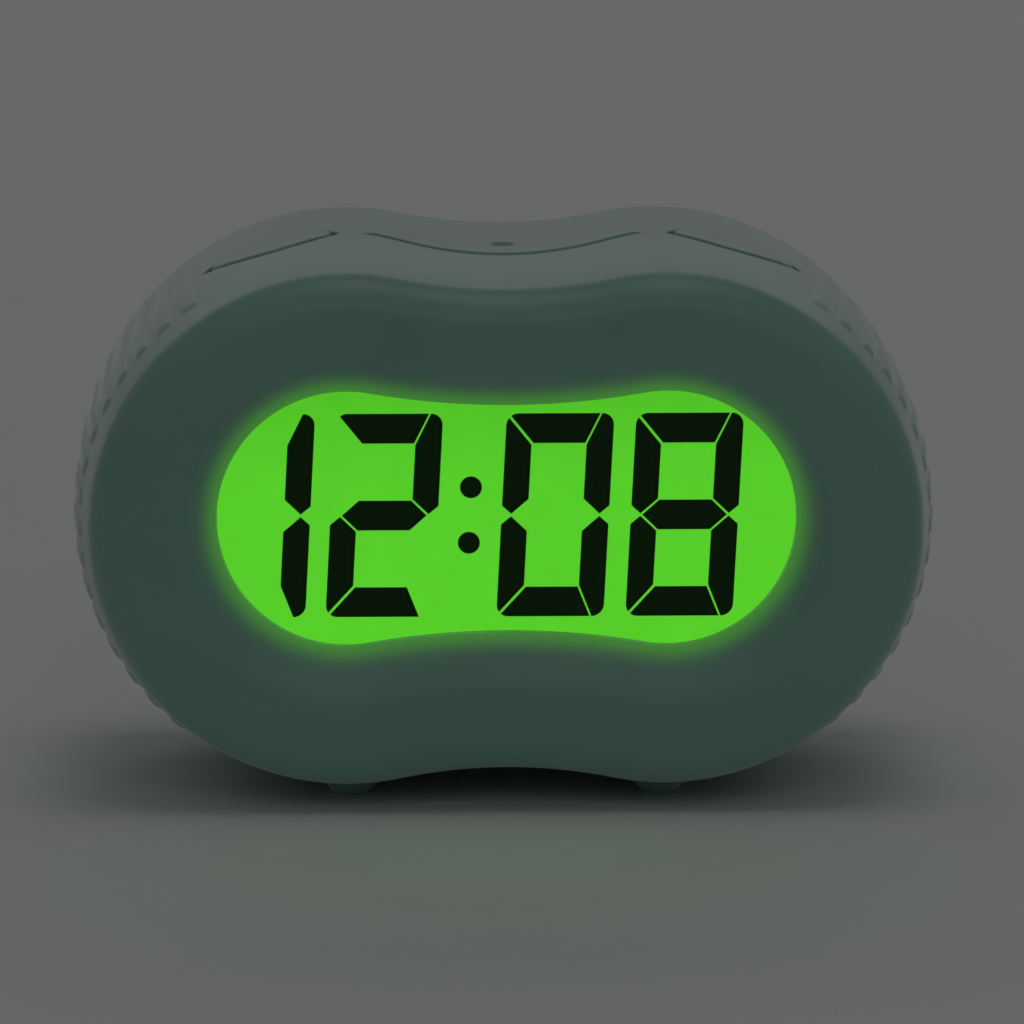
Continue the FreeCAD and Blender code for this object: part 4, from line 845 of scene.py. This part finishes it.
def top_key(name, body, node, stems):
    leaf = LEAVES[name]
    hole = name == "snooze"
    rings, middle = key_rings(leaf, hole)
    skin = Rings()
    if hole:
        skin.add(rings, loop=True)
    else:
        surface = inside(LOBE_R + KEY_PROUD).height(middle[:1])[0]
        under = inside(LOBE_R + KEY_PROUD - KEY_SKIN).height(middle[:1])[0]
        skin.add(rings, start=(*middle, surface), end=(*middle, under))
    under_skin = inside(LOBE_R + KEY_PROUD - KEY_SKIN + 0.6)
    for x in stems:
        top = under_skin.height(np.array([x]))[0]
        profile = [(STEM_R - 0.2, PLUNGER_TOP), (STEM_R, PLUNGER_TOP + 0.2), (STEM_R, top)]
        skin.add(lathe(profile, (x, KEY_MID_Y, 0), "z", 32),
                 start=(x, KEY_MID_Y, PLUNGER_TOP), end=(x, KEY_MID_Y, top))
    return new_piece(name + "_key_cap", skin.points, skin.faces, KEY_SILICONE, body, node)


KEY_SILICONE = key_material()


# ---- display ------------------------------------------------------------------------------
DIGIT_H = 24.7
DIGIT_W = 12.9
BAR_V = 3.15              # thickness of the upright bars
BAR_H = 3.6               # thickness of the level bars
SEGMENT_GAP = 0.32
DIGIT_CORNER = 1.45       # rounding of a digit's four outer corners
BAR_NOTCH = 1.15          # the upright bars come to a point this far in from their outer side
DIGIT_SLANT = math.tan(math.radians(3.0))
DIGIT_RIGHTS = [-22.85, -7.53, 12.99, 28.52]
DIGIT_SEGMENTS = ["bc", "abged", "abcdef", "abcdefg"]
DIGIT_Z = (digits_low[2] + digits_high[2]) / 2
COLON_DOTS = [(-4.22, 3.4), (-4.48, -3.35)]
COLON_R = 1.32
INK_T = 0.08


def segment_shapes():
    """Outlines of the seven bars, with the digit's right edge at zero and its middle at zero."""
    half = DIGIT_H / 2
    gap = SEGMENT_GAP / 2
    left = -DIGIT_W
    inner = half - BAR_H
    r = DIGIT_CORNER
    turn = math.degrees(gap / r)
    left_corner = (left + r, half - r)
    right_corner = (-r, half - r)
    slope = gap * 1.4
    top = arc_points(left_corner, r, 135 - turn, 90, 5)
    top += [(-r - slope, half), (-BAR_V - gap, inner), (left + BAR_V + slope, inner)]
    upper_right = arc_points(right_corner, r, 90, 0, 9)
    upper_right += [(0, BAR_NOTCH), (-BAR_NOTCH, gap), (-BAR_V, BAR_H / 2 + gap), (-BAR_V, inner - slope)]
    upper_left = arc_points(left_corner, r, 135 + turn, 180, 5)
    upper_left += [(left, BAR_NOTCH), (left + BAR_NOTCH, gap)]
    upper_left += [(left + BAR_V, BAR_H / 2 + gap), (left + BAR_V, inner - slope)]
    middle = [(left + BAR_NOTCH + slope, 0), (left + BAR_V + gap, BAR_H / 2), (-BAR_V - gap, BAR_H / 2)]
    middle += [(-BAR_NOTCH - slope, 0), (-BAR_V - gap, -BAR_H / 2), (left + BAR_V + gap, -BAR_H / 2)]

    def flip(points):
        return [(x, -z) for x, z in points]

    return {
        "a": top,
        "b": upper_right,
        "c": flip(upper_right),
        "d": flip(top),
        "e": flip(upper_left),
        "f": upper_left,
        "g": middle,
    }


def display_ink():
    shapes = segment_shapes()
    back = panel_low[1]
    points = []
    faces = []

    def plate(outline):
        first = len(points)
        count = len(outline)
        points.extend((x, back - INK_T, z) for x, z in outline)
        points.extend((x, back, z) for x, z in outline)
        front = list(range(first, first + count))
        rear = list(range(first + count, first + 2 * count))
        area = sum(a[0] * b[1] - b[0] * a[1] for a, b in zip(outline, outline[1:] + outline[:1]))
        if area < 0:
            front.reverse()
            rear.reverse()
        faces.append(tuple(front))
        faces.append(tuple(rear[::-1]))
        faces.extend((f, r, rn, fn) for f, fn, r, rn in
                     zip(front, front[1:] + front[:1], rear, rear[1:] + rear[:1]))

    for right, letters in zip(DIGIT_RIGHTS, DIGIT_SEGMENTS):
        for letter in letters:
            plate([(right + x + (z - DIGIT_H / 2) * DIGIT_SLANT, DIGIT_Z + z) for x, z in shapes[letter]])
    for x, rise in COLON_DOTS:
        turn = np.arange(40) * 2 * math.pi / 40
        plate([(x + COLON_R * math.cos(t), DIGIT_Z + rise + COLON_R * math.sin(t)) for t in turn])
    piece = new_piece("lcd_ink", points, faces, ink(), "clock_body", "lcd_digits")
    piece.data.shade_flat()
    return piece


# ---- carried-over nodes -------------------------------------------------------------------
def assign(node, material):
    mesh = NODES[node].data
    mesh.materials.clear()
    mesh.materials.append(material)


def dress_nodes():
    soft_green = plastic("cover_plastic", PALE_GREEN, 0.48, 0.00002)
    white = plastic("case_white", OFF_WHITE, 0.42)
    board = circuit_board()
    zinc = metal("screw_zinc", (0.62, 0.62, 0.60), 0.32)
    nickel = metal("nickel", (0.66, 0.64, 0.58), 0.26)
    black = plastic("black_plastic", (0.018, 0.018, 0.020), 0.42)
    grey = plastic("switch_grey", (0.16, 0.16, 0.17), 0.45)
    table = {
        soft_green: ["rear_cover", "battery_door"],
        white: ["front_case", "lcd_frame"],
        board: ["main_board", "key_board", "rear_board"],
        zinc: ["case_screws", "main_board_screws", "key_board_screws", "rear_board_screws",
               "clock_crystal"],
        nickel: ["positive_terminal", "negative_terminal", "contact_bridge", "contact_springs"],
        black: ["controller_chip", "buzzer", "snooze_switch_housings", "left_switch_housing",
                "right_switch_housing", "set_switch_housings", "alarm_slide_housing", "light_slide_housing"],
        grey: ["snooze_switch_plungers", "left_switch_plunger", "right_switch_plunger", "time_plunger",
               "alarm_plunger", "hour_plunger", "minute_plunger", "alarm_slider", "light_slider",
               "time_button", "alarm_button", "hour_button", "minute_button"],
        lcd_glow(): ["lcd_panel"],
        clear_plastic(): ["window_lens"],
        plastic("guide_acrylic", (0.80, 0.84, 0.82), 0.15): ["light_guide", "sensor_window"],
        plastic("reflector_film", (0.82, 0.82, 0.82), 0.3): ["reflector_sheet"],
        plastic("led_resin", (0.75, 0.85, 0.55), 0.25): ["backlight_led_left", "backlight_led_right",
                                                         "light_sensor"],
        plastic("contact_rubber", (0.25, 0.12, 0.13), 0.6): ["contact_strip"],
        plastic("capacitor_sleeve", (0.02, 0.03, 0.08), 0.35): ["smoothing_capacitor"],
        plastic("battery_sleeve", (0.02, 0.10, 0.19), 0.25): ["upper_battery", "lower_battery"],
        plastic("wire_red", (0.45, 0.02, 0.02), 0.4): ["battery_lead_red"],
        plastic("wire_black", (0.02, 0.02, 0.02), 0.4): ["battery_lead_black", "buzzer_leads"],
        plastic("ribbon_grey", (0.45, 0.46, 0.47), 0.5): ["key_ribbon", "rear_ribbon"],
    }
    for material, nodes in table.items():
        for node in nodes:
            assign(node, material)


# ---- studio -------------------------------------------------------------------------------
def studio_floor():
    """One pale sheet that runs under the clock and sweeps up behind it."""
    radius = 0.5
    far = 1.6
    half_width = 3.0
    run = [(-2.5, 0.0), (-0.8, 0.0), (0.0, 0.0), (far * 0.5, 0.0), (far, 0.0)]
    turn = np.radians(np.linspace(5, 90, 18))
    run += [(far + radius * math.sin(t), radius * (1 - math.cos(t))) for t in turn]
    run += [(far + radius, 3.0)]
    points = []
    faces = []
    for k, (y, z) in enumerate(run):
        points += [(-half_width, y, z), (half_width, y, z)]
        if k:
            faces.append((2 * k - 2, 2 * k - 1, 2 * k + 1, 2 * k))
    mesh = bpy.data.meshes.new("studio_floor")
    mesh.from_pydata(points, [], faces)
    mesh.shade_smooth()
    floor = bpy.data.objects.new("studio_floor", mesh)
    bpy.context.scene.collection.objects.link(floor)
    paper = Shader("floor_paper", (0.80, 0.80, 0.81), 0.8, specular=0.2)
    paper.mottle(8, (0.79, 0.79, 0.80), (0.81, 0.81, 0.82))
    paper.grain(900, 0.00002)
    mesh.materials.append(paper.material)


def lamp(name, place, aim, size, power, colour=(1, 1, 1)):
    data = bpy.data.lights.new(name, "AREA")
    data.shape = "RECTANGLE"
    data.size = size[0]
    data.size_y = size[1]
    data.energy = power
    data.color = colour
    made = bpy.data.objects.new(name, data)
    made.location = place
    made.rotation_mode = "QUATERNION"
    made.rotation_quaternion = (Vector(aim) - Vector(place)).to_track_quat("-Z", "Y")
    bpy.context.scene.collection.objects.link(made)


def studio_light():
    world = bpy.data.worlds.new("studio")
    world.use_nodes = True
    backdrop = world.node_tree.nodes["Background"]
    backdrop.inputs["Color"].default_value = (0.97, 0.985, 1.0, 1)
    backdrop.inputs["Strength"].default_value = 0.078
    bpy.context.scene.world = world
    lamp("overhead_softbox", (0.10, -0.10, 1.6), (0, 0, 0), (0.80, 0.80), 1.48)
    lamp("front_softbox", (0.10, -1.10, 0.72), (0, 0, 0.03), (0.90, 0.55), 0.50)
    lamp("rear_softbox", (0.0, 1.9, 1.05), (0, 0, 0.05), (2.8, 0.80), 3.0)


# ---- camera, in metres and degrees --------------------------------------------------------
CAMERA_FAR = 0.900
CAMERA_AZIMUTH = -1.35
CAMERA_RISE = 9.75
CAMERA_LENS = 265         # focal length in millimetres, for a sensor 36 mm wide
AIM_RIGHT = 0.0006
AIM_UP = 0.00084


def camera():
    data = bpy.data.cameras.new("camera")
    data.sensor_width = 36
    data.lens = CAMERA_LENS
    data.clip_start = 0.01
    data.clip_end = 20
    made = bpy.data.objects.new("camera", data)
    a = math.radians(CAMERA_AZIMUTH)
    e = math.radians(CAMERA_RISE)
    back = Vector((math.sin(a) * math.cos(e), -math.cos(a) * math.cos(e), math.sin(e)))
    turn = (-back).to_track_quat("-Z", "Y")
    face = Vector((0, dish_depth(np.array([WINDOW_R]))[0] * MM, WINDOW_Z * MM))
    shift = turn @ Vector((AIM_RIGHT, AIM_UP, 0))
    made.location = face + back * CAMERA_FAR + shift
    made.rotation_mode = "QUATERNION"
    made.rotation_quaternion = turn
    bpy.context.scene.collection.objects.link(made)
    bpy.context.scene.camera = made


# ---- build --------------------------------------------------------------------------------
silicone_jacket()
top_key("snooze", "snooze_press_body", "snooze_key", (-8.0, 8.0))
top_key("left", "left_key_body", "left_key", (-27.0,))
top_key("right", "right_key_body", "right_key", (27.0,))
display_ink()
dress_nodes()
studio_floor()
studio_light()
camera()
bpy.context.scene.view_settings.view_transform = "Standard"
